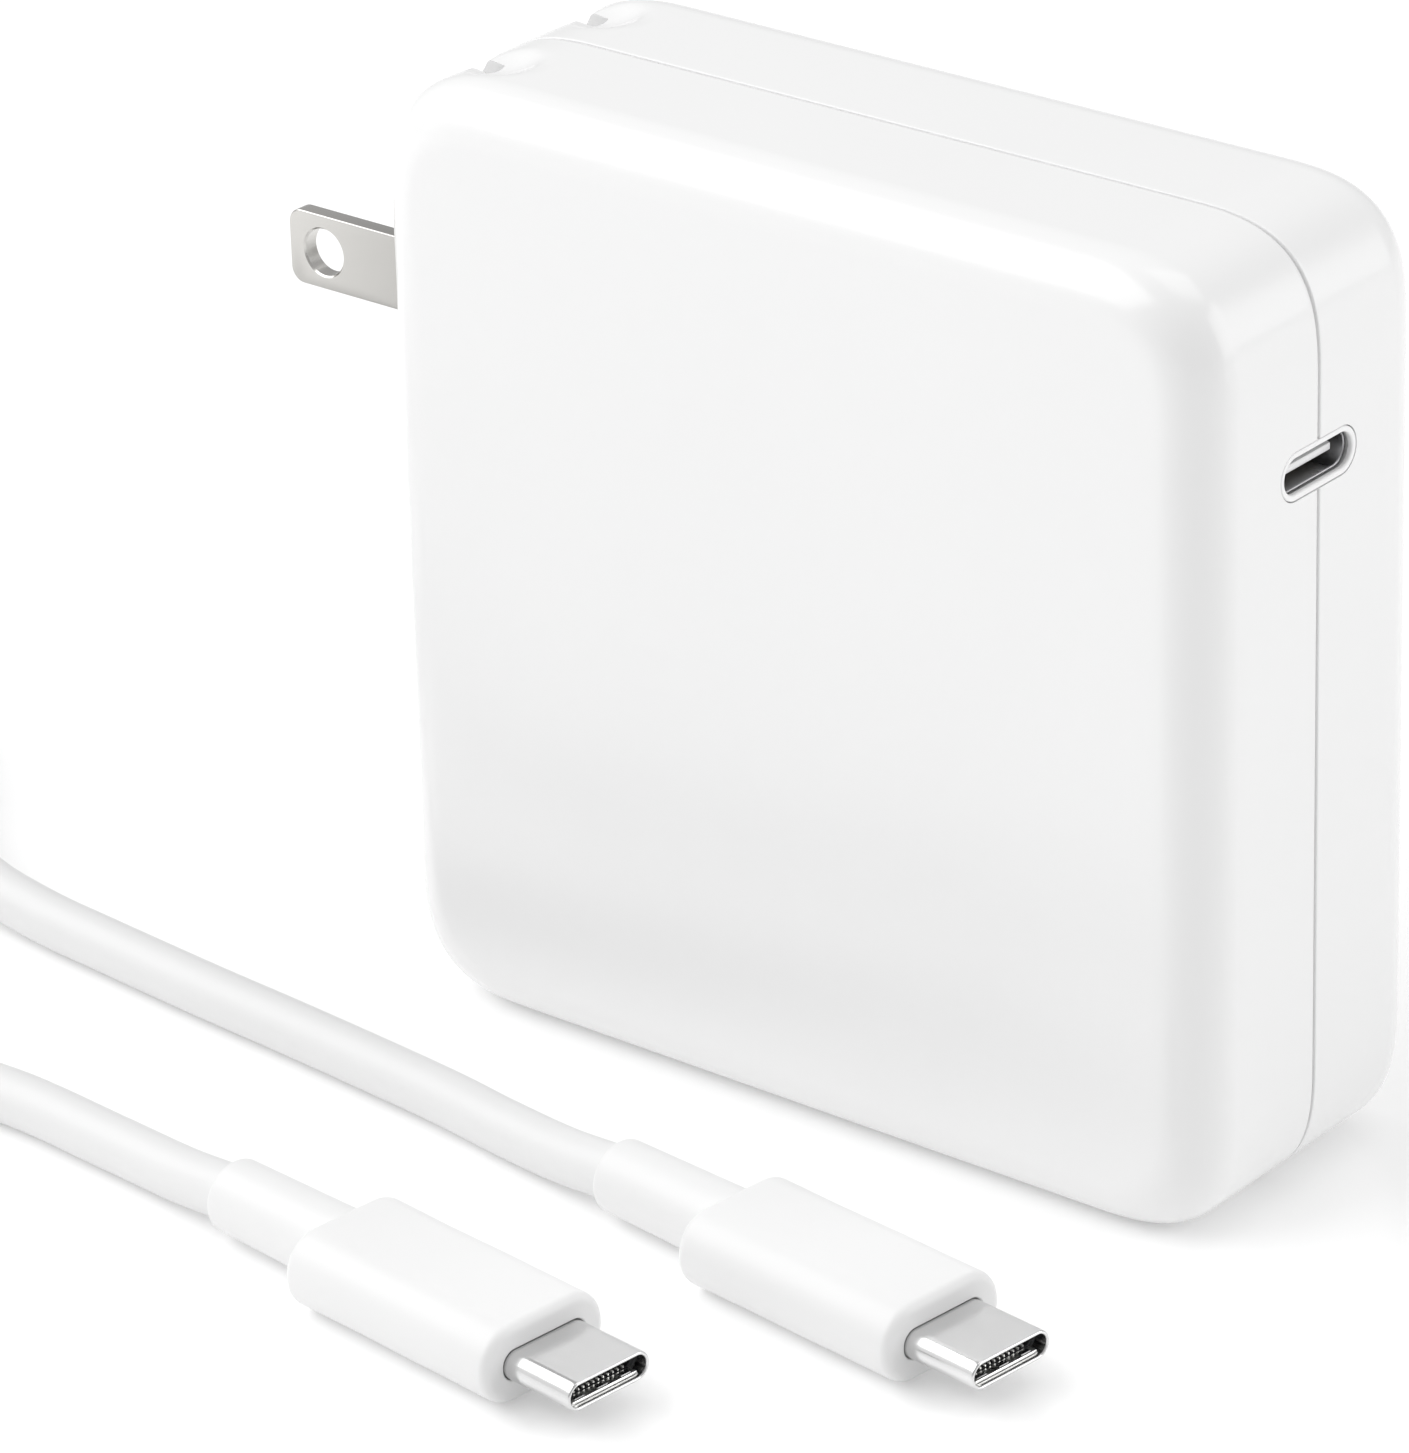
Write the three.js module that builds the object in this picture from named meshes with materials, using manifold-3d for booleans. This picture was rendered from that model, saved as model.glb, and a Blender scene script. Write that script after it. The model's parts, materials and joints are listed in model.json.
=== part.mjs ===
// USB-C laptop power adapter with folding mains blades, and its detachable charging lead.
// Millimetres, +Z up. The adapter stands on its thin edge: its large faces look along -Y and
// +Y, the blades leave the -X edge and the port opens on the +X edge.
import * as THREE from 'three';
import { mergeVertices } from 'three/addons/utils/BufferGeometryUtils.js';
import Module from 'manifold-3d';

// ---- driving dimensions ----
const bodyWidth = 80;
const bodyHeight = 80;
const bodyThickness = 29;
const cornerReach = 12; // where the corner curve leaves the straight edge
const cornerPower = 3; // exponent of the corner curve: 2 is a circle
const edgeRound = 4.5; // rounding between the large faces and the rim
const wall = 2.2;
const seamGap = 0.3; // parting line between the two shells
const lipHeight = 1.4; // how far the front shell's tongue enters the back shell
const past = 5; // how far a cut runs past the outside
const fit = 0.3; // clearance between neighbouring solids

const bladeWidth = 6.35;
const bladeThickness = 1.5;
const bladeSpacing = 12.7;
const bladeReach = 19.2; // from the pivot to the tip
const bladeTipRound = 1.3;
const bladeHole = 4.0;
const bladeHoleInset = 3.6; // from the tip to the hole's centre
const tailReach = 5.4; // contact tail behind the pivot
const tailWidth = 1.8;
const pivotDepth = 3.8; // from the -X face to the pivot
const pivotHeight = 59.6;
const sweepGap = 0.4; // round a swinging blade, in the plane it swings in

const padHeight = 13.4;
const padProud = 2;
const padChamfer = 0.5;
const padCorner = 1.5;
const padShoulder = 1; // pad outside each bearing's inner face

const rotorRadius = 3.9;
const neckRadius = 1.8; // where the blades sit on the rotor
const journalRadius = 1.5;
const rotorFlange = 1.2; // rotor left outside each blade
const rotorPlay = 0.4; // end play between the rotor and its bearings
const cheekThickness = 1.6;
const cheekReach = 2.6; // bearing cheeks, behind the pivot
const cheekHalf = 5;
const contactSpace = 2.6; // room for the leaf contacts behind the blade tails
const keeperThickness = 1.6;
const keeperHalf = 6;
const leafThickness = 0.4;
const leafWidth = 3;
const leafHalf = 5;
const wireRadius = 0.7;
const wirePitch = 2.4; // between the two wires where they land

const troughWall = 1.2; // beside each folded blade
const troughFloor = 1.7; // behind it
const scoopLength = 8; // finger scoop, along Y
const scoopDepth = 1.3;

const plugWidth = 8.3; // plug shell of the lead, outside
const plugThick = 2.45;
const plugReach = 6.9;
const plugSeat = 1.2; // length of plug shell held in the overmold
const plugCore = 1.2; // how far the dark core stands inside the shell
const mating = 0.06; // clearance round a plug in the port
const sheetWall = 0.3;

const portHeight = 61.7;
const portDepth = 7.4;
const portBase = 1.8; // moulding at the back of the port
const ringRim = 0.5; // width of the trim round the port
const ringDepth = 0.4;
const ringSight = 0.3; // how much wider the trim opens than the port
const tongueWidth = 6.69;
const tongueThick = 0.7;
const tongueInset = 0.5; // behind the mouth of the port

const boardThickness = 1.6;
const boardStandoff = 2.1; // behind the main board
const boardMargin = 3.8; // between the board's edges and the housing wall
const postRadius = 2;
const postInset = 6; // from the board's edges
const sheetInset = 9; // insulation sheet, from the board's edges
const sheetThickness = 0.3;
const shieldThickness = 0.8;
const shieldFlange = 5.1;
const usbBoardLength = 18.8;
const usbBoardWidth = 15.6;
const usbBoardThickness = 1;
const rowGap = 3.6; // between the rows of components, along Z
const canRadius = 7.2;
const canLength = 25;
const coreWidth = 26;
const coreHeight = 22;
const coreDepth = 8;
const windingDepth = 15.6;
const lineChokeRadius = 5; // to the middle of the ring
const lineChokeRing = 2.4;
const xCapWidth = 12.5;
const xCapHeight = 4.4;
const xCapDepth = 13;
const outputCanRadius = 4;
const outputCanLength = 13;
const outputChokeRadius = 4;
const outputChokeRing = 1.9;
const fuseRadius = 1.8;
const fuseLength = 10;
const bridgeWidth = 9;
const bridgeHeight = 12;
const bridgeDepth = 3.4;
const transistorWidth = 9.6;
const tabThickness = 1.3;
const tabHeight = 18.5;
const packageDepth = 4.5;
const packageHeight = 9;

const overmoldLength = 22.5;
const overmoldWidth = 12.3;
const overmoldThick = 6.5;
const reliefLength = 12.5;
const reliefRadius = 3.2;
const cordRadius = 2.25;
const cordSides = 10;
const turnGap = 0.15; // between neighbouring turns, and under a lying cord
const coilRadius = 38.5; // centreline of the outermost turn
const coilColumns = 5;
const coilLayers = 2;
const tieWidth = 8;
const tieThickness = 0.8;

// ---- values worked out from them ----
const faceX = bodyWidth / 2;
const faceY = bodyThickness / 2;
const insideX = faceX - wall;
const insideY = faceY - wall;
const pivotX = -faceX + pivotDepth;
const padFaceX = -faceX - padProud;
const bladeY = bladeSpacing / 2;
const slotHalf = bladeThickness / 2 + fit;
const slotBack = pivotX + bladeWidth / 2 + sweepGap;
const slotTop = pivotHeight + bladeReach + sweepGap;
const rotorEnd = bladeY + slotHalf + rotorFlange;
const cheekInner = rotorEnd + rotorPlay;
const cheekOuter = cheekInner + cheekThickness;
const padWidth = 2 * (cheekInner + padShoulder);
const bezelTop = pivotHeight + padHeight / 2;
const bezelBottom = pivotHeight - padHeight / 2;
const plateFront = pivotX + tailReach + contactSpace;
const plateBack = plateFront + keeperThickness;
const portWidth = plugWidth + 2 * (mating + sheetWall);
const portThick = plugThick + 2 * (mating + sheetWall);
const ringWidth = portWidth + 2 * (ringSight / 2 + ringRim - sheetWall);
const ringThick = portThick + 2 * (ringSight / 2 + ringRim - sheetWall);
const portFront = faceX - ringDepth - fit;
const usbBoardLeft = insideX - 1 - usbBoardLength;
const boardFace = insideY - boardStandoff - boardThickness;
const boardEdges = {
  left: -insideX + boardMargin,
  right: insideX - boardMargin,
  bottom: wall + boardMargin,
  top: bodyHeight - wall - boardMargin,
  notchX: plateBack + 3, // the board stops short of the plug
  notchZ: bezelBottom - 6,
};
const turnPitch = cordRadius * 2 + turnGap;
// The blades count towards the overall box, so its middle lies off the housing's own.
const housingShift = (faceX + bladeReach - pivotX) / 2 - faceX;

const wasm = await Module();
wasm.setup();

// ---- solids ----
function solid(geometry) {
  const bare = geometry.clone();
  for (const name of Object.keys(bare.attributes)) {
    if (name !== 'position') bare.deleteAttribute(name);
  }
  const merged = mergeVertices(bare, 1e-5);
  return new wasm.Manifold(new wasm.Mesh({
    numProp: 3,
    vertProperties: merged.attributes.position.array,
    triVerts: new Uint32Array(merged.index.array),
  }));
}

function geometryOf(manifold) {
  const mesh = manifold.getMesh();
  const geometry = new THREE.BufferGeometry();
  geometry.setAttribute('position', new THREE.BufferAttribute(new Float32Array(mesh.vertProperties), 3));
  geometry.setIndex(new THREE.BufferAttribute(new Uint32Array(mesh.triVerts), 1));
  geometry.computeVertexNormals();
  return geometry;
}

function union(...pieces) {
  return pieces.reduce((whole, piece) => whole.add(piece));
}

function box(x0, x1, y0, y1, z0, z1) {
  const geometry = new THREE.BoxGeometry(x1 - x0, y1 - y0, z1 - z0);
  return geometry.translate((x0 + x1) / 2, (y0 + y1) / 2, (z0 + z1) / 2);
}

const unitX = new THREE.Vector3(1, 0, 0);
const unitY = new THREE.Vector3(0, 1, 0);
const unitZ = new THREE.Vector3(0, 0, 1);

// A shape carried along an axis: along X it is drawn in (Y, Z), along Y in (X, Z) and
// along Z in (X, Y). A bevel rounds or chamfers both ends inside the outline.
function extrude(shape, axis, from, to, bevel = 0, bevelSegments = 1, curveSegments = 6) {
  const geometry = new THREE.ExtrudeGeometry(shape, {
    depth: to - from - 2 * bevel,
    bevelEnabled: bevel > 0,
    bevelThickness: bevel,
    bevelSize: bevel,
    bevelOffset: -bevel,
    bevelSegments,
    curveSegments,
  });
  geometry.translate(0, 0, bevel);
  if (axis === 'X') {
    geometry.applyMatrix4(new THREE.Matrix4().makeBasis(unitY, unitZ, unitX)).translate(from, 0, 0);
  } else if (axis === 'Y') {
    const down = unitY.clone().negate();
    geometry.applyMatrix4(new THREE.Matrix4().makeBasis(unitX, unitZ, down)).translate(0, to, 0);
  } else {
    geometry.translate(0, 0, from);
  }
  return geometry;
}

// Housing outline in (X, Z): straight edges joined by |x|^p + |z|^p = 1 corners.
function housingOutline(inset, steps = 9) {
  const reach = cornerReach - inset;
  const straightX = bodyWidth / 2 - cornerReach;
  const straightZ = bodyHeight / 2 - cornerReach;
  const quarter = [];
  for (let i = 0; i <= steps; i += 1) {
    const angle = (Math.PI / 2) * (i / steps);
    quarter.push([reach * Math.cos(angle) ** (2 / cornerPower), reach * Math.sin(angle) ** (2 / cornerPower)]);
  }
  const points = [];
  for (const [signX, signZ] of [[1, 1], [-1, 1], [-1, -1], [1, -1]]) {
    const arc = signX * signZ > 0 ? quarter : [...quarter].reverse();
    for (const [x, z] of arc) {
      points.push(new THREE.Vector2(signX * (straightX + x), bodyHeight / 2 + signZ * (straightZ + z)));
    }
  }
  return new THREE.Shape(points);
}

// Rectangle with round corners, centred on (u, v); corner = half the height gives a slot.
function roundedRect(width, height, corner, u = 0, v = 0) {
  const x = width / 2 - corner;
  const y = height / 2 - corner;
  const shape = new THREE.Shape();
  shape.absarc(u + x, v + y, corner, 0, Math.PI / 2);
  shape.absarc(u - x, v + y, corner, Math.PI / 2, Math.PI);
  shape.absarc(u - x, v - y, corner, Math.PI, Math.PI * 1.5);
  shape.absarc(u + x, v - y, corner, Math.PI * 1.5, Math.PI * 2);
  return shape;
}

function slotShape(width, height, u = 0, v = 0) {
  return roundedRect(width, height, height / 2 - 0.001, u, v);
}

function tubeShape(outer, inner) {
  outer.holes.push(new THREE.Path(inner.getPoints(6).reverse()));
  return outer;
}

// Revolved solid about Y from (radius, y) points that start and end on the axis.
function revolve(points, segments = 24) {
  return new THREE.LatheGeometry(points.map(([r, y]) => new THREE.Vector2(r, y)), segments);
}

// ---- materials ----
const finish = (color, roughness, metalness) => new THREE.MeshStandardMaterial({ color, roughness, metalness });
const finishes = {
  housing: finish(0xf2f2f2, 0.3, 0),
  nickel: finish(0xc4c2bd, 0.25, 1),
  steel: finish(0xcfcfcf, 0.2, 1),
  contactBrass: finish(0xc8a050, 0.35, 1),
  insulator: finish(0xe8e4d8, 0.5, 0),
  darkInsulator: finish(0x2a2a2c, 0.5, 0),
  boardGreen: finish(0x1f5a38, 0.5, 0),
  component: finish(0x202022, 0.45, 0),
  capSleeve: finish(0x24324a, 0.4, 0),
  ferrite: finish(0x3a3a3c, 0.7, 0),
  winding: finish(0xd8b040, 0.6, 0),
  copper: finish(0xb86a3c, 0.4, 1),
  aluminium: finish(0xb8bbbf, 0.45, 1),
  wireSleeve: finish(0x303030, 0.5, 0),
  lead: finish(0xf6f6f6, 0.45, 0),
  tie: finish(0xdddddd, 0.8, 0),
};

const adapter = new THREE.Group();
adapter.position.x = housingShift;
function addNode(name, shape, material, parent = adapter) {
  const geometry = shape instanceof THREE.BufferGeometry ? shape : geometryOf(shape);
  const mesh = new THREE.Mesh(geometry, finishes[material].clone());
  mesh.name = name;
  parent.add(mesh);
  return mesh;
}

// ---- housing ----
function housing() {
  const outer = solid(extrude(housingOutline(0), 'Y', -faceY, faceY, edgeRound, 5));
  const cavity = solid(extrude(housingOutline(wall), 'Y', -insideY, insideY, Math.max(edgeRound - wall, 0), 3));

  // Troughs that the folded blades lie in, closed towards the inside.
  const troughs = [-1, 1].map((side) => {
    const y = side * bladeY;
    const half = slotHalf + troughWall;
    const trough = box(-faceX, slotBack + troughFloor, y - half, y + half, bezelTop + 2 * fit, bodyHeight - wall / 2);
    return solid(trough).intersect(outer);
  });
  const walls = union(outer.subtract(cavity), ...troughs);

  // Cuts that both shells share: the pad's opening, the blade slots, the scoops and the port.
  const tipRound = bladeTipRound + sweepGap;
  const slotProfile = new THREE.Shape();
  slotProfile.moveTo(-faceX - past, bezelTop - 1);
  slotProfile.lineTo(slotBack, bezelTop - 1);
  slotProfile.absarc(slotBack - tipRound, slotTop - tipRound, tipRound, 0, Math.PI / 2);
  slotProfile.lineTo(-faceX - past, slotTop);
  const cuts = [solid(box(-faceX - past, -insideX + 1, -padWidth / 2 - fit, padWidth / 2 + fit,
    bezelBottom - fit, bezelTop + fit))];
  // The scoops follow the corner at 45 degrees, where the curve is reach * 0.5^(1/p) out.
  const cornerOut = cornerReach * 0.5 ** (1 / cornerPower);
  const scoopRadius = (scoopLength ** 2 / 4 + scoopDepth ** 2) / (2 * scoopDepth);
  const scoopOff = (scoopRadius - scoopDepth) * Math.SQRT1_2;
  for (const side of [-1, 1]) {
    const y = side * bladeY;
    cuts.push(solid(extrude(slotProfile, 'Y', y - slotHalf, y + slotHalf)));
    cuts.push(solid(new THREE.SphereGeometry(scoopRadius, 32, 20).translate(
      -faceX + cornerReach - cornerOut - scoopOff,
      y,
      bodyHeight - cornerReach + cornerOut + scoopOff,
    )));
  }
  const opening = slotShape(ringWidth + 2 * fit, ringThick + 2 * fit, 0, portHeight);
  cuts.push(solid(extrude(opening, 'X', insideX - 1, faceX + past)));
  const cutWalls = cuts.reduce((whole, cut) => whole.subtract(cut), walls);

  const frontHalf = solid(box(-bodyWidth, bodyWidth, -faceY - past, -seamGap / 2, -past, bodyHeight + past));
  const backHalf = solid(box(-bodyWidth, bodyWidth, seamGap / 2, faceY + past, -past, bodyHeight + past));

  // Tongue inside the wall of the front shell, and the rebate it enters in the back one.
  const lipInset = (wall + fit) / 2;
  const tongueOuter = solid(extrude(housingOutline(lipInset), 'Y', -1, lipHeight));
  const tongueInner = solid(extrude(housingOutline(wall), 'Y', -2, lipHeight + 1));
  const rebate = solid(extrude(housingOutline(lipInset - fit), 'Y', 0, lipHeight + fit));
  // The tongue stops where the bezel, the blade troughs and the port pass through it.
  const clearOfPlug = solid(box(-faceX - past, slotBack + troughFloor + fit, -past, past,
    bezelBottom - 1, bodyHeight + past));
  const clearOfPort = solid(box(insideX - 1, faceX + 1, -past, past,
    portHeight - ringThick / 2 - 1, portHeight + ringThick / 2 + 1));
  const tongue = tongueOuter.subtract(tongueInner).subtract(clearOfPlug).subtract(clearOfPort);

  // Posts that carry the main board, clear of it by the fit and sunk into the wall.
  const { left, right, bottom, top, notchX } = boardEdges;
  const postFrom = boardFace + boardThickness + fit;
  const postTo = insideY + wall / 4;
  const posts = [[left, bottom, 1, 1], [right, bottom, -1, 1], [right, top, -1, -1], [notchX, top, 1, -1]].map(
    ([x, z, sideX, sideZ]) => {
      const post = revolve([[0, postFrom], [postRadius, postFrom], [postRadius, postTo], [0, postTo]], 16);
      return solid(post.translate(x + sideX * postInset, 0, z + sideZ * postInset));
    },
  );
  addNode('front_shell', cutWalls.intersect(frontHalf).add(tongue), 'housing');
  addNode('back_shell', union(cutWalls.intersect(backHalf).subtract(rebate), ...posts), 'housing');
}

// ---- folding plug ----
function rotorProfile(grow) {
  const neckFrom = bladeY - slotHalf;
  const neckTo = bladeY + slotHalf;
  const journalEnd = padWidth / 2; // as wide as the pad, so that it clears the wall
  const right = [
    [rotorRadius, neckFrom], [neckRadius, neckFrom], [neckRadius, neckTo], [rotorRadius, neckTo],
    [rotorRadius, rotorEnd], [journalRadius, rotorEnd], [journalRadius, journalEnd],
  ];
  if (grow > 0) {
    const wide = [[rotorRadius + grow, rotorEnd + grow], [journalRadius + grow, rotorEnd + grow],
      [journalRadius + grow, journalEnd + 2]];
    return [[0, -journalEnd - 2], ...wide.map(([r, y]) => [r, -y]).reverse(), ...wide, [0, journalEnd + 2]];
  }
  return [[0, -journalEnd], ...right.map(([r, y]) => [r, -y]).reverse(), ...right, [0, journalEnd]];
}

function bladeShape() {
  const half = bladeWidth / 2;
  const tip = pivotX - bladeReach;
  const tailTop = tailWidth / 2;
  const tailStart = Math.asin(tailTop / half);
  const shape = new THREE.Shape();
  shape.moveTo(tip + bladeTipRound, pivotHeight - half);
  shape.absarc(pivotX, pivotHeight, half, -Math.PI / 2, -tailStart);
  shape.absarc(pivotX + tailReach - tailTop, pivotHeight, tailTop, -Math.PI / 2, Math.PI / 2);
  shape.absarc(pivotX, pivotHeight, half, tailStart, Math.PI / 2);
  shape.absarc(tip + bladeTipRound, pivotHeight + half - bladeTipRound, bladeTipRound, Math.PI / 2, Math.PI);
  shape.absarc(tip + bladeTipRound, pivotHeight - half + bladeTipRound, bladeTipRound, Math.PI, Math.PI * 1.5);
  const hole = new THREE.Path();
  hole.absarc(tip + bladeHoleInset, pivotHeight, bladeHole / 2, 0, Math.PI * 2, true);
  const bore = new THREE.Path();
  bore.absarc(pivotX, pivotHeight, neckRadius + fit, 0, Math.PI * 2, true);
  shape.holes.push(hole, bore);
  return shape;
}

function foldingPlug() {
  const atPivot = (geometry) => geometry.translate(pivotX, 0, pivotHeight);
  addNode('blade_rotor', atPivot(revolve(rotorProfile(0), 24)), 'darkInsulator');
  for (const [name, side] of [['blade_live', -1], ['blade_neutral', 1]]) {
    const y = side * bladeY;
    addNode(name, extrude(bladeShape(), 'Y', y - bladeThickness / 2, y + bladeThickness / 2, 0, 1, 8), 'nickel');
  }

  // Pad with a bearing cheek at each end. The cheeks are open to the back, and start behind
  // the rounding inside the housing's edge.
  const cheekFront = -faceX + Math.max(edgeRound, wall + fit);
  const cheekBack = pivotX + cheekReach;
  const pad = extrude(roundedRect(padWidth, padHeight, padCorner, 0, pivotHeight), 'X',
    padFaceX, -insideX, padChamfer, 1, 3);
  const parts = [solid(pad)];
  const cuts = [solid(atPivot(revolve(rotorProfile(fit), 28)))];
  for (const side of [-1, 1]) {
    const span = (from, to) => (side > 0 ? [from, to] : [-to, -from]);
    const link = box(-insideX - 2 * padChamfer, cheekBack, ...span(cheekInner, padWidth / 2),
      pivotHeight - cheekHalf, pivotHeight + cheekHalf);
    const cheek = box(cheekFront, cheekBack, ...span(cheekInner, cheekOuter),
      pivotHeight - cheekHalf, pivotHeight + cheekHalf);
    parts.push(solid(link), solid(cheek));
    cuts.push(solid(box(pivotX, cheekBack + 1, ...span(cheekInner - 1, cheekOuter + 1),
      pivotHeight - journalRadius - fit, pivotHeight + journalRadius + fit)));
    cuts.push(solid(box(padFaceX - 1, cheekBack, side * bladeY - slotHalf, side * bladeY + slotHalf,
      pivotHeight - bladeWidth / 2 - sweepGap, bezelTop + 1)));
  }
  addNode('plug_bezel', cuts.reduce((whole, cut) => whole.subtract(cut), union(...parts)), 'housing');

  // Keeper behind the rotor: its noses close the bearings, its plate carries the contacts.
  const keeper = [solid(box(plateFront, plateBack, -cheekOuter, cheekOuter,
    pivotHeight - keeperHalf, pivotHeight + keeperHalf))];
  for (const side of [-1, 1]) {
    const span = side > 0 ? [cheekInner, cheekOuter] : [-cheekOuter, -cheekInner];
    keeper.push(solid(box(cheekBack + fit, plateBack, ...span, pivotHeight - cheekHalf, pivotHeight + cheekHalf)));
    keeper.push(solid(box(pivotX + journalRadius + fit, cheekBack + 2, ...span,
      pivotHeight - journalRadius, pivotHeight + journalRadius)));
  }
  addNode('plug_keeper', union(...keeper), 'insulator');

  // Leaf contacts: a bowed strip whose crown stands just off the blade's tail.
  const crown = pivotX + tailReach + fit;
  const foot = plateFront - fit - leafThickness;
  const leafEnd = pivotHeight - leafHalf;
  const leaf = new THREE.Shape();
  leaf.moveTo(foot, leafEnd);
  leaf.quadraticCurveTo(2 * crown - foot, pivotHeight, foot, pivotHeight + leafHalf);
  leaf.lineTo(foot + leafThickness, pivotHeight + leafHalf);
  leaf.quadraticCurveTo(2 * crown - foot + leafThickness, pivotHeight, foot + leafThickness, leafEnd);
  // Wires drop from the leaves, pass behind the notch's edge and land on the board.
  const { notchZ } = boardEdges;
  const land = boardFace - wireRadius;
  const behind = foot + 2 * cheekReach;
  for (const [name, side] of [['live', -1], ['neutral', 1]]) {
    const y = side * bladeY;
    const strip = extrude(leaf, 'Y', y - leafWidth / 2, y + leafWidth / 2, 0, 1, 8);
    addNode(`spring_${name}`, strip, 'contactBrass');
    const landX = wireLanding - side * wirePitch / 2;
    const route = [
      [foot - leafThickness, y, leafEnd - fit - wireRadius],
      [foot - leafThickness / 2, y, leafEnd - 5 * wireRadius],
      [behind, (y + land) / 2, notchZ + 2.4 * wireRadius],
      [landX, land - wireRadius, notchZ + wireRadius],
      [landX, land, notchZ - 3 * wireRadius],
    ];
    addNode(`wire_${name}`, tube(route, wireRadius, 6, 10), 'wireSleeve');
  }
}

function tube(points, radius, sides, steps) {
  const path = new THREE.CatmullRomCurve3(points.map((p) => new THREE.Vector3(...p)));
  const section = new THREE.Shape(Array.from({ length: sides }, (_, i) => {
    const angle = (i / sides) * 2 * Math.PI;
    return new THREE.Vector2(radius * Math.cos(angle), radius * Math.sin(angle));
  }));
  return new THREE.ExtrudeGeometry(section, { steps, extrudePath: path, bevelEnabled: false });
}

// ---- electronics ----
function can(radius, length) {
  // Electrolytic can along Y with a crimp near its open end.
  return revolve([[0, 0], [radius - 0.4, 0], [radius, 0.5], [radius, 1.6], [radius - 0.5, 2.2], [radius, 2.8],
    [radius, length - 0.6], [radius - 0.6, length], [0, length]], 24);
}

function toroid(radius, tubeR, half) {
  const shape = new THREE.Shape();
  shape.absarc(0, 0, radius + tubeR, 0, Math.PI * 2);
  const hole = new THREE.Path();
  hole.absarc(0, 0, radius - tubeR, 0, Math.PI * 2, true);
  shape.holes.push(hole);
  return extrude(shape, 'Y', -half, half, 0.6, 1, 10);
}

// Centres of pieces of these widths, laid in a row between two ends with equal gaps.
function spread(from, to, widths) {
  const gap = (to - from - widths.reduce((sum, width) => sum + width, 0)) / (widths.length + 1);
  let edge = from;
  return widths.map((width) => {
    edge += gap + width;
    return edge - width / 2;
  });
}

const lineChokeOuter = lineChokeRadius + lineChokeRing;
const outputChokeOuter = outputChokeRadius + outputChokeRing;
const [lineChokeX, coreX, outputX] = spread(-insideX, insideX, [2 * lineChokeOuter, coreWidth, 4 * outputCanRadius + 1]);
// The wires from the plug land between the X capacitor and the transformer.
const wireLanding = (lineChokeX + xCapWidth / 2 + coreX - coreWidth / 2) / 2;

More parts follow.
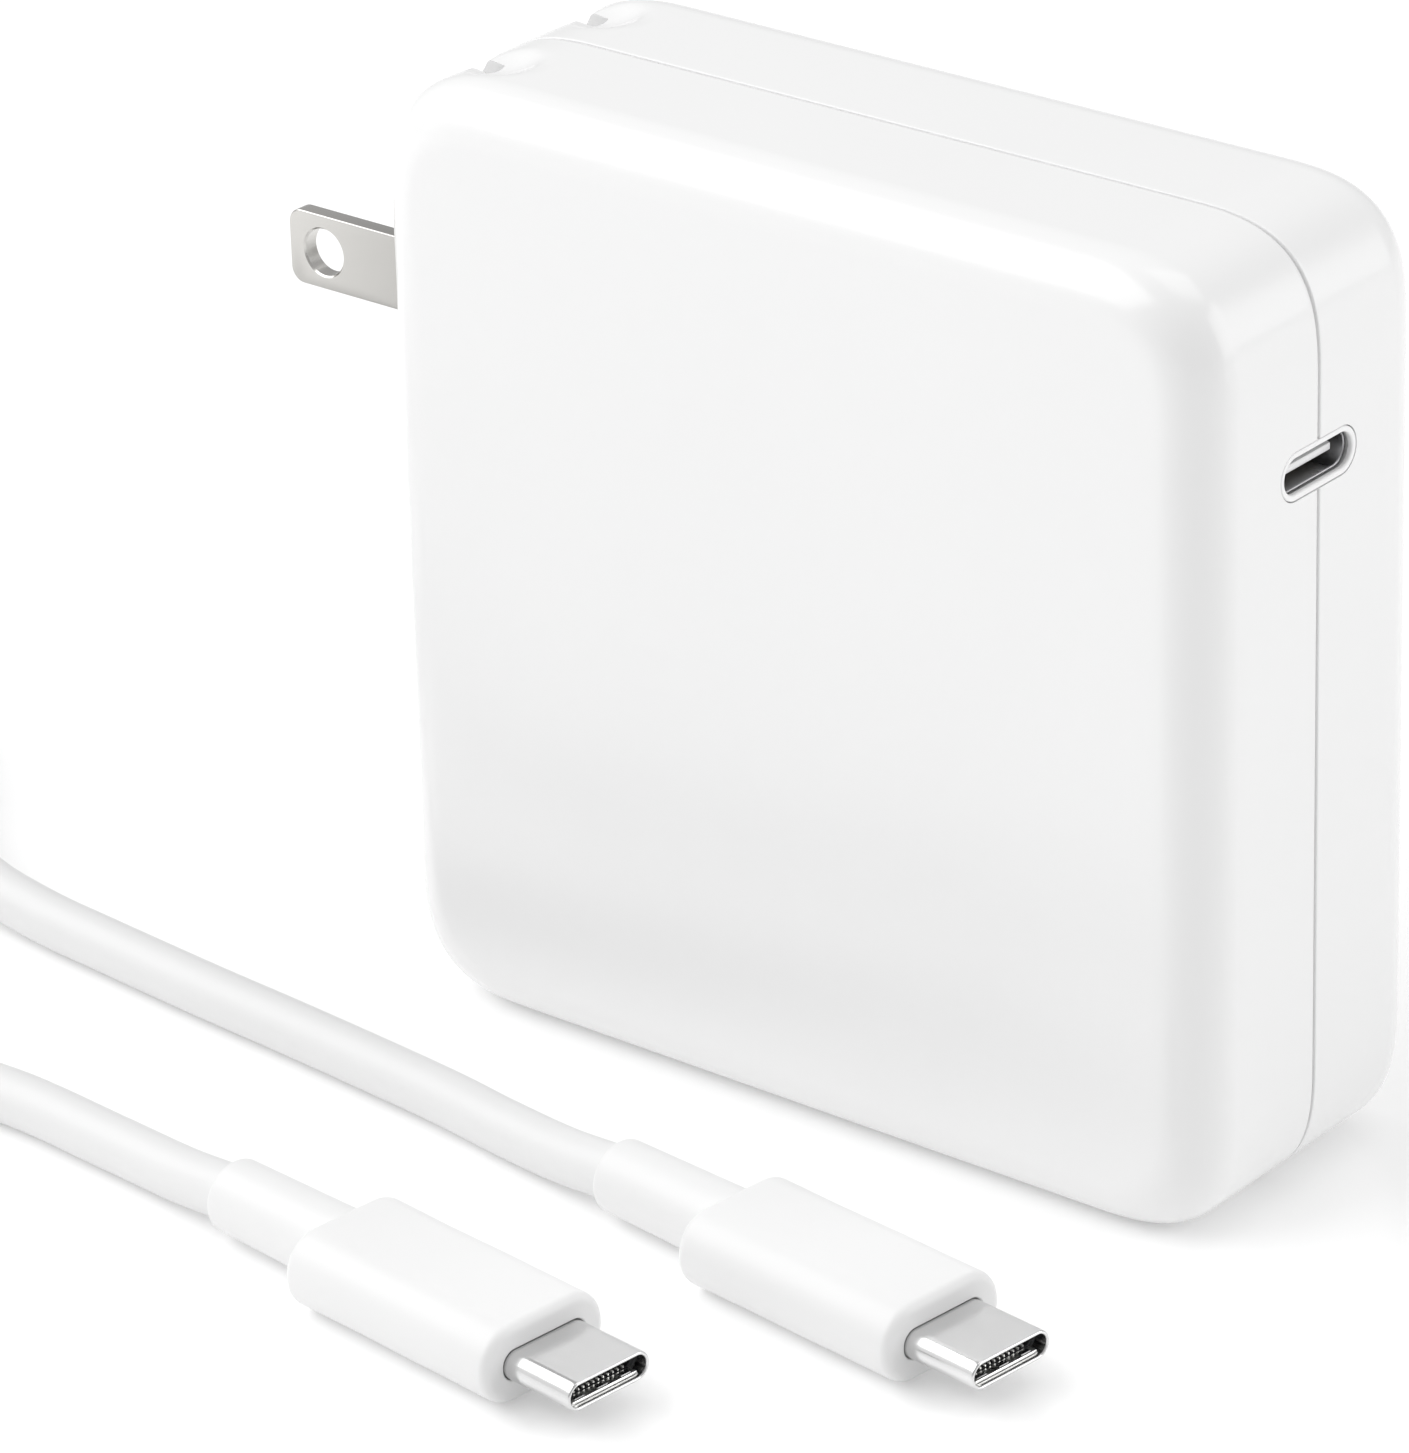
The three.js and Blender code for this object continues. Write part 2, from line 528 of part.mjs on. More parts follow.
function electronics() {
  const { left, right, bottom, top, notchX, notchZ } = boardEdges;
  const cut = postInset;
  const board = new THREE.Shape([
    [left, bottom + cut], [left + cut, bottom], [right - cut, bottom], [right, bottom + cut],
    [right, top - cut], [right - cut, top], [notchX, top], [notchX, notchZ], [left, notchZ],
  ].map(([x, z]) => new THREE.Vector2(x, z)));
  addNode('main_board', extrude(board, 'Y', boardFace, boardFace + boardThickness), 'boardGreen');
  const sheetY = boardFace + boardThickness + boardStandoff / 2;
  addNode('insulation_sheet', box(notchX + 2, right - sheetInset, sheetY, sheetY + sheetThickness,
    bottom + sheetInset, top - sheetInset), 'insulator');

  // Heat spreader: a tray against the front wall, with turned-in edges.
  const shieldOut = -insideY + fit;
  const shieldIn = shieldOut + shieldThickness;
  const turned = shieldOut + shieldFlange;
  const low = bottom - shieldThickness - fit;
  const high = top + shieldThickness + fit;
  const tray = new THREE.Shape([
    [shieldOut, low], [turned, low], [turned, low + shieldThickness], [shieldIn, low + shieldThickness],
    [shieldIn, high - shieldThickness], [turned, high - shieldThickness], [turned, high], [shieldOut, high],
  ].map(([y, z]) => new THREE.Vector2(y, z)));
  addNode('heat_spreader', extrude(tray, 'X', notchX, right - boardMargin), 'aluminium');

  // Bottom row: the bulk capacitors lie end to end.
  const seat = boardFace - fit;
  const middle = (shieldIn + boardFace) / 2;
  const canZ = bottom + boardMargin / 2 + canRadius;
  for (const [i, x] of spread(-insideX, insideX, [canLength, canLength]).entries()) {
    const lying = can(canRadius, canLength).rotateZ(-Math.PI / 2);
    addNode(`bulk_capacitor_${i + 1}`, lying.translate(x - canLength / 2, middle, canZ), 'capSleeve');
  }

  // Middle row: line choke and X capacitor, transformer, output capacitors and choke.
  const rowZ = canZ + canRadius + rowGap;
  const chokeHalf = 4;
  addNode('line_choke', toroid(lineChokeRadius, lineChokeRing, chokeHalf)
    .translate(lineChokeX, seat - chokeHalf, rowZ + lineChokeOuter), 'ferrite');
  const xCapZ = rowZ + 2 * lineChokeOuter + 4 * fit;
  addNode('x_capacitor', box(lineChokeX - xCapWidth / 2, lineChokeX + xCapWidth / 2, seat - xCapDepth, seat,
    xCapZ, xCapZ + xCapHeight), 'winding');

  // Transformer: a two-window core, and the winding round its middle leg.
  const coreZ = rowZ + coreHeight / 2;
  const leg = coreWidth / 6;
  const windowWidth = (coreWidth - 4 * leg) / 2 + leg / 2;
  const windowHeight = coreHeight - 2 * leg;
  const core = roundedRect(coreWidth, coreHeight, 0.8, coreX, coreZ);
  const legHalf = (coreWidth - 2 * leg - 2 * windowWidth) / 2;
  for (const side of [-1, 1]) {
    const x = coreX + side * (legHalf + windowWidth / 2);
    core.holes.push(new THREE.Path(roundedRect(windowWidth, windowHeight, 0.4, x, coreZ).getPoints(3).reverse()));
  }
  addNode('transformer_core', extrude(core, 'Y', middle - coreDepth / 2, middle + coreDepth / 2, 0, 1, 3), 'ferrite');
  const windingWidth = 2 * (legHalf + windowWidth - fit);
  const windingHalf = windowHeight / 2 - fit;
  const bobbin = tubeShape(roundedRect(windingWidth, windingDepth, 2, coreX, middle),
    roundedRect(2 * (legHalf + fit), coreDepth + 2 * fit, 0.4, coreX, middle));
  addNode('transformer_winding', extrude(bobbin, 'Z', coreZ - windingHalf, coreZ + windingHalf, 0, 1, 4), 'winding');

  const standing = outputCanRadius + 0.5;
  for (const [i, x] of [outputX - standing, outputX + standing].entries()) {
    addNode(`output_capacitor_${i + 1}`, can(outputCanRadius, outputCanLength).rotateX(Math.PI)
      .translate(x, seat, rowZ + outputCanRadius), 'capSleeve');
  }
  const ringHalf = 3;
  addNode('output_choke', toroid(outputChokeRadius, outputChokeRing, ringHalf)
    .translate(outputX, seat - ringHalf, rowZ + 2 * outputCanRadius + rowGap + outputChokeOuter), 'copper');

  // Top row, between the plug and the port's board: fuse, bridge rectifier and transistors.
  const topZ = rowZ + coreHeight + rowGap;
  const [fuseX, bridgeX, switchX, rectifierX] = spread(plateBack, usbBoardLeft,
    [2 * fuseRadius, bridgeWidth, transistorWidth, transistorWidth]);
  const cap = fuseRadius - 0.2;
  const end = fuseLength / 2;
  addNode('fuse', revolve([[0, -end], [fuseRadius, -end], [fuseRadius, 1.4 - end], [cap, 1.6 - end],
    [cap, end - 1.6], [fuseRadius, end - 1.4], [fuseRadius, end], [0, end]], 16)
    .rotateX(Math.PI / 2).translate(fuseX, seat - fuseRadius, topZ + end), 'insulator');
  addNode('bridge_rectifier', extrude(roundedRect(bridgeWidth, bridgeHeight, 0.6, bridgeX, topZ + bridgeHeight / 2),
    'Y', seat - bridgeDepth, seat, 0.3, 1, 2), 'component');
  // Each transistor's tab lies against the heat spreader, with its package in front.
  const tabY = shieldIn + fit;
  const packageY = tabY + tabThickness;
  const profile = new THREE.Shape([
    [tabY, topZ], [packageY, topZ], [packageY, topZ + tabHeight - packageHeight],
    [packageY + packageDepth, topZ + tabHeight - packageHeight], [packageY + packageDepth, topZ + tabHeight],
    [tabY, topZ + tabHeight],
  ].map(([y, z]) => new THREE.Vector2(y, z)));
  for (const [name, x] of [['switch_transistor', switchX], ['rectifier_transistor', rectifierX]]) {
    addNode(name, extrude(profile, 'X', x - transistorWidth / 2, x + transistorWidth / 2), 'component');
  }
}

// ---- port ----
function usbPort() {
  const back = portFront - portDepth;
  const boardTop = portHeight - portThick / 2 - fit;
  addNode('usb_board', box(usbBoardLeft, usbBoardLeft + usbBoardLength, -usbBoardWidth / 2, usbBoardWidth / 2,
    boardTop - usbBoardThickness, boardTop), 'boardGreen');
  addNode('port_shell', extrude(tubeShape(
    slotShape(portWidth, portThick, 0, portHeight),
    slotShape(portWidth - 2 * sheetWall, portThick - 2 * sheetWall, 0, portHeight),
  ), 'X', back, portFront), 'steel');
  const inset = 2 * (sheetWall + fit);
  const base = extrude(slotShape(portWidth - inset, portThick - inset, 0, portHeight), 'X', back, back + portBase);
  const tongue = box(back + portBase / 2, portFront - tongueInset, -tongueWidth / 2, tongueWidth / 2,
    portHeight - tongueThick / 2, portHeight + tongueThick / 2);
  addNode('port_tongue', solid(base).add(solid(tongue)), 'insulator');
  addNode('port_ring', extrude(tubeShape(
    slotShape(ringWidth, ringThick, 0, portHeight),
    slotShape(ringWidth - 2 * ringRim, ringThick - 2 * ringRim, 0, portHeight),
  ), 'X', faceX - ringDepth, faceX), 'housing');
}

// ---- charging lead ----
const plugHeight = overmoldThick / 2 + turnGap;
const coilBase = tieThickness + fit + turnGap; // the tie passes underneath

function leadEnd(letter, x, y, turnDeg) {
  const end = new THREE.Group();
  end.position.set(x, y, plugHeight);
  end.rotation.z = THREE.MathUtils.degToRad(turnDeg);
  adapter.add(end);
  const recess = plugSeat + fit;
  addNode(`plug_shell_${letter}`, extrude(tubeShape(
    slotShape(plugWidth, plugThick),
    slotShape(plugWidth - 2 * sheetWall, plugThick - 2 * sheetWall),
  ), 'X', -plugSeat, plugReach), 'steel', end);
  const inset = sheetWall + fit;
  addNode(`plug_core_${letter}`, extrude(slotShape(plugWidth - 2 * inset, plugThick - 2 * inset), 'X',
    -plugSeat, plugCore), 'darkInsulator', end);
  const body = solid(extrude(roundedRect(overmoldWidth, overmoldThick, overmoldThick / 2 - 0.1), 'X',
    -overmoldLength, 0, 0.8, 3, 6));
  const seat = solid(extrude(slotShape(plugWidth + 2 * fit, plugThick + 2 * fit), 'X', -recess, 1));
  addNode(`overmold_${letter}`, body.subtract(seat), 'lead', end);
  const reliefStart = overmoldLength + fit;
  const tip = reliefStart + reliefLength;
  const relief = revolve([[0, -tip], [reliefRadius - 0.5, -tip], [reliefRadius - 0.3, -tip + 0.6],
    [reliefRadius, -reliefStart], [0, -reliefStart]], 20);
  addNode(`strain_relief_${letter}`, relief.rotateZ(-Math.PI / 2), 'lead', end);
}

const plugTurn = -7; // degrees
const plugAt = { a: [11.0, -57.8], b: [33.0, -37.9] };
const coilX = -128;
const coilY = -38;

function chargingLead() {
  leadEnd('a', ...plugAt.a, plugTurn);
  leadEnd('b', ...plugAt.b, plugTurn);
  // Routes from each strain relief to the coil, which they meet along its tangents.
  const lying = cordRadius + turnGap;
  const high = coilBase + cordRadius;
  const turn = THREE.MathUtils.degToRad(plugTurn);
  const from = (letter) => {
    const back = overmoldLength + 2 * fit + reliefLength;
    const [x, y] = plugAt[letter];
    return [x - back * Math.cos(turn), y - back * Math.sin(turn), plugHeight];
  };
  addNode('cord_a', tube([from('a'), [-31, -52.7, lying], [-38, -52.1, lying], [-50, -51.3, lying],
    [-59, -52.6, lying], [-68, -55.5, lying], [-82, -61.6, lying + 0.3], [-96.3, -67.1, high]],
  cordRadius, cordSides, 12), 'lead');
  addNode('cord_b', tube([from('b'), [-9, -32.6, lying], [-16, -31.5, lying], [-38, -28.9, lying],
    [-62, -26.8, lying], [-70, -26, lying + 0.1], [-78, -24.7, lying + 0.7], [-88.6, -20.6, lying + 2.7]],
  cordRadius, cordSides, 13), 'lead');

  const inner = coilRadius - (coilColumns - 1) * turnPitch - cordRadius;
  const outer = coilRadius + cordRadius;
  const height = (coilLayers - 1) * turnPitch + 2 * cordRadius;
  const soft = 1.2;
  const ring = new THREE.LatheGeometry([
    [inner, soft], [inner + soft, 0], [outer - soft, 0], [outer, soft], [outer, height - soft],
    [outer - soft, height], [inner + soft, height], [inner, height - soft], [inner, soft],
  ].map(([r, z]) => new THREE.Vector2(r, z)), 48);
  addNode('cord_coil', ring.rotateX(Math.PI / 2).translate(coilX, coilY, coilBase), 'lead');

  // Strap round the ring on its far side; it is straight while the turns curve.
  const sagitta = inner - Math.sqrt(inner ** 2 - (tieWidth / 2) ** 2);
  const width = outer - inner + 2 * (fit + sagitta);
  const section = tubeShape(
    roundedRect(width + 2 * tieThickness, height + 2 * (fit + tieThickness), 1.2),
    roundedRect(width, height + 2 * fit, 0.6),
  );
  const strap = extrude(section, 'Y', -tieWidth / 2, tieWidth / 2, 0, 1, 3);
  addNode('cord_tie', strap.translate(coilX - (inner + outer) / 2, coilY, coilBase + height / 2), 'tie');
}

housing();
foldingPlug();
electronics();
usbPort();
chargingLead();

const model = new THREE.Group();
model.add(adapter);
export default model;
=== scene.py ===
"""A laptop power adapter and its charging lead: finished surfaces, materials, camera and light.

Shapes are numpy surfaces: an outline that can be inset, carried along a profile of
(inset, travel) steps. Lengths are millimetres until a mesh is made, in the frame's axes.
"""

import json
import math

import bpy
import numpy as np
from mathutils import Matrix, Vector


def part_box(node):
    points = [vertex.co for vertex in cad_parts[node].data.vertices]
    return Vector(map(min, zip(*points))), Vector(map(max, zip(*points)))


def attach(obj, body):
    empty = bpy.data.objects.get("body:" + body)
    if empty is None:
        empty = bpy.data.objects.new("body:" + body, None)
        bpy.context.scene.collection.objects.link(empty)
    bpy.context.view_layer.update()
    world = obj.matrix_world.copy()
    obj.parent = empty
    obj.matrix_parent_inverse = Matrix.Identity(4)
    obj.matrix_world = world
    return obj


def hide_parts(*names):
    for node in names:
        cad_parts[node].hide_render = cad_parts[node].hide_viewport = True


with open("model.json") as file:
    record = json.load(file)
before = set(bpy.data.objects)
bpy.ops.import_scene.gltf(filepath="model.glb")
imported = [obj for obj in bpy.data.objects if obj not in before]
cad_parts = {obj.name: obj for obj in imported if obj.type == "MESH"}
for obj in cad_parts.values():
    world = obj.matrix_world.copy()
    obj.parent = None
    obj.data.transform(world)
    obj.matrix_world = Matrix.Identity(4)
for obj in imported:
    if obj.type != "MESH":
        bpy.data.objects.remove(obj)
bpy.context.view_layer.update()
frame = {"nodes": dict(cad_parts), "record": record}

MM = 0.001
ADAPTER = "adapter"
BLADES = "plug_blades"


def node_box(node):
    """A CAD node's lowest and highest corners in millimetres."""
    low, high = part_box(node)
    return np.array(low) / MM, np.array(high) / MM


# ---- sizes read from the frame ----
shell_low, shell_high = node_box("front_shell")
_, back_high = node_box("back_shell")
HOUSING_X = (shell_low[0] + shell_high[0]) / 2
WIDTH = shell_high[0] - shell_low[0]
HEIGHT = shell_high[2] - shell_low[2]
DEPTH = back_high[1] - shell_low[1]
bezel_low, bezel_high = node_box("plug_bezel")
ring_low, ring_high = node_box("port_ring")
port_low, port_high = node_box("port_shell")
_, tongue_high = node_box("port_tongue")
live_low, live_high = node_box("blade_live")
neutral_low, neutral_high = node_box("blade_neutral")
fold = next(joint for joint in frame["record"]["behaviour"]["joints"] if joint["name"] == "blade_fold")
PIVOT_X, _, PIVOT_Z = (value / MM for value in fold["pos_m"])

# ---- sizes that the frame doesn't give ----
CORNER_REACH = 12.0
CORNER_POWER = 3.0
EDGE_ROUND = 4.5
WALL = 2.2
SEAM = 0.3
BLADE_THICKNESS = 1.5
BLADE_TIP_ROUND = 1.3
BLADE_HOLE = 4.0
BLADE_HOLE_INSET = 3.6
NECK_BORE = 2.1
TAIL_WIDTH = 1.8
PAD_WIDTH = 20.0
FIT = 0.3
SWEEP_GAP = 0.5
TROUGH_WALL, TROUGH_FLOOR = 1.2, 1.7
CORD = 4.5
CORD_GAP = 0.15
PLUG_TURN = math.radians(-7)
OVERMOLD = (22.5, 12.3, 6.5)
RELIEF_RADIUS = 3.2
RELIEF_START, RELIEF_END = 0.9 - OVERMOLD[0], 0.1 - OVERMOLD[0] - 12.5  # from an overmould's front
PLUG_WIDTH, PLUG_THICK, PLUG_REACH, PLUG_SEAT = 8.3, 2.45, 6.9, 1.2
SHEET = 0.3
TONGUE_WIDTH, TONGUE_THICK = 6.69, 0.7
CONTACTS, CONTACT_PITCH = 12, 0.5
BRIM = 0.12


# ---- camera ----
def place_camera():
    """Looks at a point in the housing's middle plane, from the right, in front and above."""
    azimuth, elevation, roll = (math.radians(angle) for angle in (39.462, 25.372, -1.666))
    distance = 628.7
    aim = np.array([HOUSING_X - 19.56, 0.0, 23.72])
    forward = np.array([
        -math.sin(azimuth) * math.cos(elevation),
        math.cos(azimuth) * math.cos(elevation),
        -math.sin(elevation),
    ])
    level = np.cross(forward, [0, 0, 1])
    level /= np.linalg.norm(level)
    upright = np.cross(level, forward)
    right = math.cos(roll) * level + math.sin(roll) * upright
    up = math.cos(roll) * upright - math.sin(roll) * level
    place = Matrix.Identity(4)
    for row in range(3):
        place[row][0], place[row][1], place[row][2] = right[row], up[row], -forward[row]
        place[row][3] = (aim[row] - forward[row] * distance) * MM
    camera_data = bpy.data.cameras.new("camera")
    camera_data.sensor_width = 36
    camera_data.lens = 193.75
    camera_data.clip_start, camera_data.clip_end = 0.01, 10
    camera = bpy.data.objects.new("camera", camera_data)
    bpy.context.scene.collection.objects.link(camera)
    camera.matrix_world = place
    bpy.context.scene.camera = camera


place_camera()


# ---- meshes ----
def make_mesh(name, points, faces, sharp_deg=32):
    """A mesh object from points in millimetres. Its faces point outwards, and edges past
    sharp_deg are sharp."""
    mesh = bpy.data.meshes.new(name)
    places = (np.asarray(points, dtype=float) * MM).tolist()
    mesh.from_pydata(places, [], [list(map(int, face)) for face in faces])
    mesh.update()
    if signed_volume(mesh) < 0:
        mesh.flip_normals()
    piece = bpy.data.objects.new(name, mesh)
    bpy.context.scene.collection.objects.link(piece)
    shade(mesh, sharp_deg)
    return piece


def signed_volume(mesh):
    """Six times the volume inside the triangulated faces; negative when they point inwards."""
    mesh.calc_loop_triangles()
    triangles = np.empty(len(mesh.loop_triangles) * 3, dtype=np.int32)
    mesh.loop_triangles.foreach_get("vertices", triangles)
    places = np.empty(len(mesh.vertices) * 3)
    mesh.vertices.foreach_get("co", places)
    a, b, c = places.reshape(-1, 3)[triangles.reshape(-1, 3)].transpose(1, 0, 2)
    return float(np.einsum("ij,ij->i", a, np.cross(b, c)).sum())


def shade(mesh, sharp_deg=32):
    mesh.shade_smooth()
    mesh.set_sharp_from_angle(angle=math.radians(sharp_deg))


def grid_faces(rows, columns, wrap_rows):
    """Quads of a grid whose columns always close; its rows close too when wrap_rows is set."""
    last = rows if wrap_rows else rows - 1
    i, j = np.meshgrid(np.arange(last), np.arange(columns), indexing="ij")
    i, j = i.ravel(), j.ravel()
    down, side = (i + 1) % rows, (j + 1) % columns
    return np.stack([i * columns + j, i * columns + side, down * columns + side, down * columns + j], 1)


AXES = {
    "X": np.array([[0, 1, 0], [0, 0, 1], [1, 0, 0]], dtype=float),
    "Y": np.array([[1, 0, 0], [0, 0, 1], [0, 1, 0]], dtype=float),
    "Z": np.array([[1, 0, 0], [0, 1, 0], [0, 0, 1]], dtype=float),
}


def loft(name, outline, profile, axis, centre=(0, 0, 0), closed=False, turn=0.0, move=None, sharp_deg=32):
    """outline(inset) gives a ring in the plane across the axis; each (inset, travel) of the
    profile lays one ring. An open profile ends in two flat caps, a closed one joins up."""
    rings = []
    for inset, travel in profile:
        ring = outline(inset)
        flat = np.column_stack([ring, np.full(len(ring), travel)])
        rings.append(flat @ AXES[axis])
    points = np.array(rings)
    rows, columns = points.shape[:2]
    points = points.reshape(-1, 3)
    if turn:
        cos, sin = math.cos(turn), math.sin(turn)
        points = points @ np.array([[cos, sin, 0], [-sin, cos, 0], [0, 0, 1]])
    points = points + np.array(centre)
    if move is not None:
        points = move(points)
    faces = grid_faces(rows, columns, closed).tolist()
    if not closed:
        faces.append(list(range(columns))[::-1])
        faces.append(list(range((rows - 1) * columns, rows * columns)))
    return make_mesh(name, points, faces, sharp_deg)


def rounded(width, height, corner, steps=16):
    """Outline function of a rectangle with circular corners; corner may be half the height."""
    def outline(inset):
        radius = max(corner - inset, 0.02)
        u, v = width / 2 - inset - radius, height / 2 - inset - radius
        angle = np.linspace(0, math.pi / 2, steps + 1)
        parts = []
        for quarter, (sign_u, sign_v) in enumerate([(1, 1), (-1, 1), (-1, -1), (1, -1)]):
            swing = angle + quarter * math.pi / 2
            along_u = sign_u * u + radius * np.cos(swing)
            along_v = sign_v * v + radius * np.sin(swing)
            parts.append(np.column_stack([along_u, along_v]))
        return np.vstack(parts)
    return outline


def traced(points):
    """Outline function of a closed polygon. Insetting moves each corner along the mean normal
    of its two edges."""
    points = np.asarray(points, dtype=float)
    ahead = np.roll(points, -1, 0) - points
    normal = np.column_stack([-ahead[:, 1], ahead[:, 0]])
    normal /= np.linalg.norm(normal, axis=1, keepdims=True)
    behind = np.roll(normal, 1, 0)
    mean = normal + behind
    mean /= np.linalg.norm(mean, axis=1, keepdims=True)
    stretch = 1 / np.clip((mean * normal).sum(1), 0.5, 1)
    return lambda inset: points + mean * (inset * stretch)[:, None]


def arc(inset, travel, radius, from_deg, to_deg, steps=6):
    """Profile steps on a circle about (inset, travel)."""
    angle = np.radians(np.linspace(from_deg, to_deg, steps + 1))
    return [(inset + radius * math.cos(a), travel + radius * math.sin(a)) for a in angle]


def carve(piece, cutter, operation="DIFFERENCE"):
    """Applies one boolean to piece with the exact solver, and removes the cutter."""
    modifier = piece.modifiers.new("cut", "BOOLEAN")
    modifier.operation = operation
    modifier.object = cutter
    modifier.solver = "EXACT"
    graph = bpy.context.evaluated_depsgraph_get()
    result = bpy.data.meshes.new_from_object(piece.evaluated_get(graph))
    piece.modifiers.clear()
    piece.data = result
    shade(result)
    bpy.data.objects.remove(cutter)


def finish_piece(piece, material, body=ADAPTER, stands_for=()):
    piece.data.materials.clear()
    piece.data.materials.append(material)
    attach(piece, body)
    if stands_for:
        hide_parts(*stands_for)
    return piece


# ---- materials ----
class Signal:
    """One output socket; arithmetic on it adds Math nodes to its material."""

    def __init__(self, finish, socket):
        self.finish = finish
        self.socket = socket

    def math(self, operation, *others):
        return self.finish.node("ShaderNodeMath", {"operation": operation}, dict(enumerate((self, *others))))

    def __add__(self, other):
        return self.math("ADD", other)

    __radd__ = __add__

    def __mul__(self, other):
        return self.math("MULTIPLY", other)

    __rmul__ = __mul__

    def __sub__(self, other):
        return self.math("SUBTRACT", other)

    def __rsub__(self, other):
        return self.finish.node("ShaderNodeMath", {"operation": "SUBTRACT"}, {0: other, 1: self})

    def __pow__(self, other):
        return self.math("POWER", other)


class Finish:
    """A principled material being built; constants go straight onto the shader's sockets."""

    def __init__(self, name, color, roughness, metallic=0.0, **constants):
        self.material = bpy.data.materials.new(name)
        self.material.use_nodes = True
        self.tree = self.material.node_tree
        self.shader = self.tree.nodes["Principled BSDF"]
        self.set("Base Color", (*color, 1))
        self.set("Roughness", roughness)
        self.set("Metallic", metallic)
        for key, value in constants.items():
            self.set(key.replace("_", " "), value)

    def set(self, socket, value):
        target = self.shader.inputs[socket]
        if isinstance(value, Signal):
            self.tree.links.new(value.socket, target)
        else:
            target.default_value = value

    def node(self, kind, settings=None, inputs=None, output=0):
        made = self.tree.nodes.new(kind)
        for key, value in (settings or {}).items():
            if key == "stops":
                for stop, (place, color) in zip(ramp_stops(made, len(value)), value):
                    stop.position = place
                    stop.color = color
            else:
                setattr(made, key, value)
        for key, value in (inputs or {}).items():
            if isinstance(value, Signal):
                self.tree.links.new(value.socket, made.inputs[key])
            else:
                made.inputs[key].default_value = value
        return Signal(self, made.outputs[output])

    def place(self, scale=(1, 1, 1), turn=(0, 0, 0)):
        """Object coordinates in metres, stretched and turned."""
        coordinates = self.node("ShaderNodeTexCoord", output="Object")
        placing = {"Vector": coordinates, "Scale": scale, "Rotation": turn}
        return self.node("ShaderNodeMapping", None, placing)

    def noise(self, scale, detail=3.0, stretch=(1, 1, 1), rough=0.5, turn=(0, 0, 0)):
        return self.node("ShaderNodeTexNoise", None, {
            "Vector": self.place(stretch, turn), "Scale": scale, "Detail": detail, "Roughness": rough,
        })

    def range(self, signal, low, high, out_low, out_high):
        return self.node("ShaderNodeMapRange", None, {
            "Value": signal, "From Min": low, "From Max": high, "To Min": out_low, "To Max": out_high,
        })

    def blend(self, factor, first, second):
        return self.node("ShaderNodeMix", {"data_type": "RGBA"}, {
            "Factor": factor, 6: (*first, 1), 7: (*second, 1),
        }, output=2)

    def bump(self, height, distance, strength=1.0):
        self.set("Normal", self.node("ShaderNodeBump", None, {
            "Height": height, "Distance": distance, "Strength": strength,
        }))


def ramp_stops(ramp, count):
    while len(ramp.color_ramp.elements) < count:
        ramp.color_ramp.elements.new(0.5)
    return ramp.color_ramp.elements


def tint(color, factor):
    return tuple(min(channel * factor, 1.0) for channel in color)


def moulded(name, color, roughness, grain=0.004, **constants):
    """Injection moulded plastic: faint flow tint, fine spark-eroded grain and uneven gloss."""
    made = Finish(name, color, roughness, **constants)
    made.set("Base Color", made.blend(made.noise(45, 2), tint(color, 0.99), tint(color, 1.01)))
    made.set("Roughness", made.noise(90, 4) * 0.04 + (roughness - 0.02))
    made.bump(made.noise(2600, 2), grain * MM, 0.6)
    return made.material


def drawn_metal(name, color, roughness, stretch, depth=0.002, turn=(0, 0, 0)):
    """Rolled or plated metal: fine lines along one way, and roughness that follows them."""
    made = Finish(name, color, roughness, 1.0)
    lines = made.noise(900, 4, stretch, 0.6, turn)
    cloud = made.range(made.noise(160, 3), 0.3, 0.7, 0, 1)
    made.set("Base Color", made.blend(cloud, tint(color, 0.95), tint(color, 1.03)))
    made.set("Roughness", made.range(lines, 0.3, 0.7, roughness * 0.8, roughness * 1.25))
    made.bump(lines, depth * MM, 0.5)
    return made.material


def plated(name, color, roughness):
    """Plating with a painted reflection: bright at a blade's tip and painted darker towards its root."""
    made = Finish(name, color, roughness, 1.0)
    along_x = made.node("ShaderNodeSeparateXYZ", None, {"Vector": made.place()})
    painted_root_shade = made.range(along_x, live_low[0] * MM, PIVOT_X * MM, 0, 1)
    # Painted reflection and shade: the base colour is lighter at the tip and darker towards the root.
    made.set("Base Color", made.blend(painted_root_shade, tint(color, 1.12), tint(color, 0.72)))
    made.set("Roughness", made.noise(160, 3) * 0.06 + (roughness - 0.03))
    made.bump(made.noise(900, 3, (0.05, 1, 1)), 0.0006 * MM, 0.4)
    return made.material


WAVES_PER_UNIT = 0.314  # a wave texture's scale for one wave in each unit of length


def wound(name, color, pitch, turn=(0, 0, 0)):
    """Turns of wire or tape side by side: a wave across them with a soft hollow between, its colour darkened
    there as painted shade.
    """
    made = Finish(name, color, 0.4)
    scale = WAVES_PER_UNIT / (pitch * MM)
    wave = made.node("ShaderNodeTexWave", {"wave_profile": "SIN"}, {
        "Vector": made.place((1, 1, 1), turn), "Scale": scale, "Distortion": 0.4, "Detail": 1.0,
    }, output="Fac")
    # Painted shade: the colour darkens in the hollows between turns.
    made.set("Base Color", made.blend(wave, tint(color, 0.55), tint(color, 1.1)))
    made.set("Roughness", 0.55 - wave * 0.2)
    made.bump(wave, pitch * 0.3 * MM)
    return made.material


def etched_board(name, color):
    """Glass epoxy board: masked copper under green lacquer as raised cells."""
    made = Finish(name, color, 0.35)
    cells = made.node("ShaderNodeTexVoronoi", {"feature": "DISTANCE_TO_EDGE", "distance": "CHEBYCHEV"}, {
        "Vector": made.place(), "Scale": 240.0,
    })
    tracks = made.range(cells, 0.06, 0.09, 0, 1)
    made.set("Base Color", made.blend(tracks, tint(color, 0.6), tint(color, 1.4)))
    made.bump(tracks, 0.03 * MM)
    return made.material


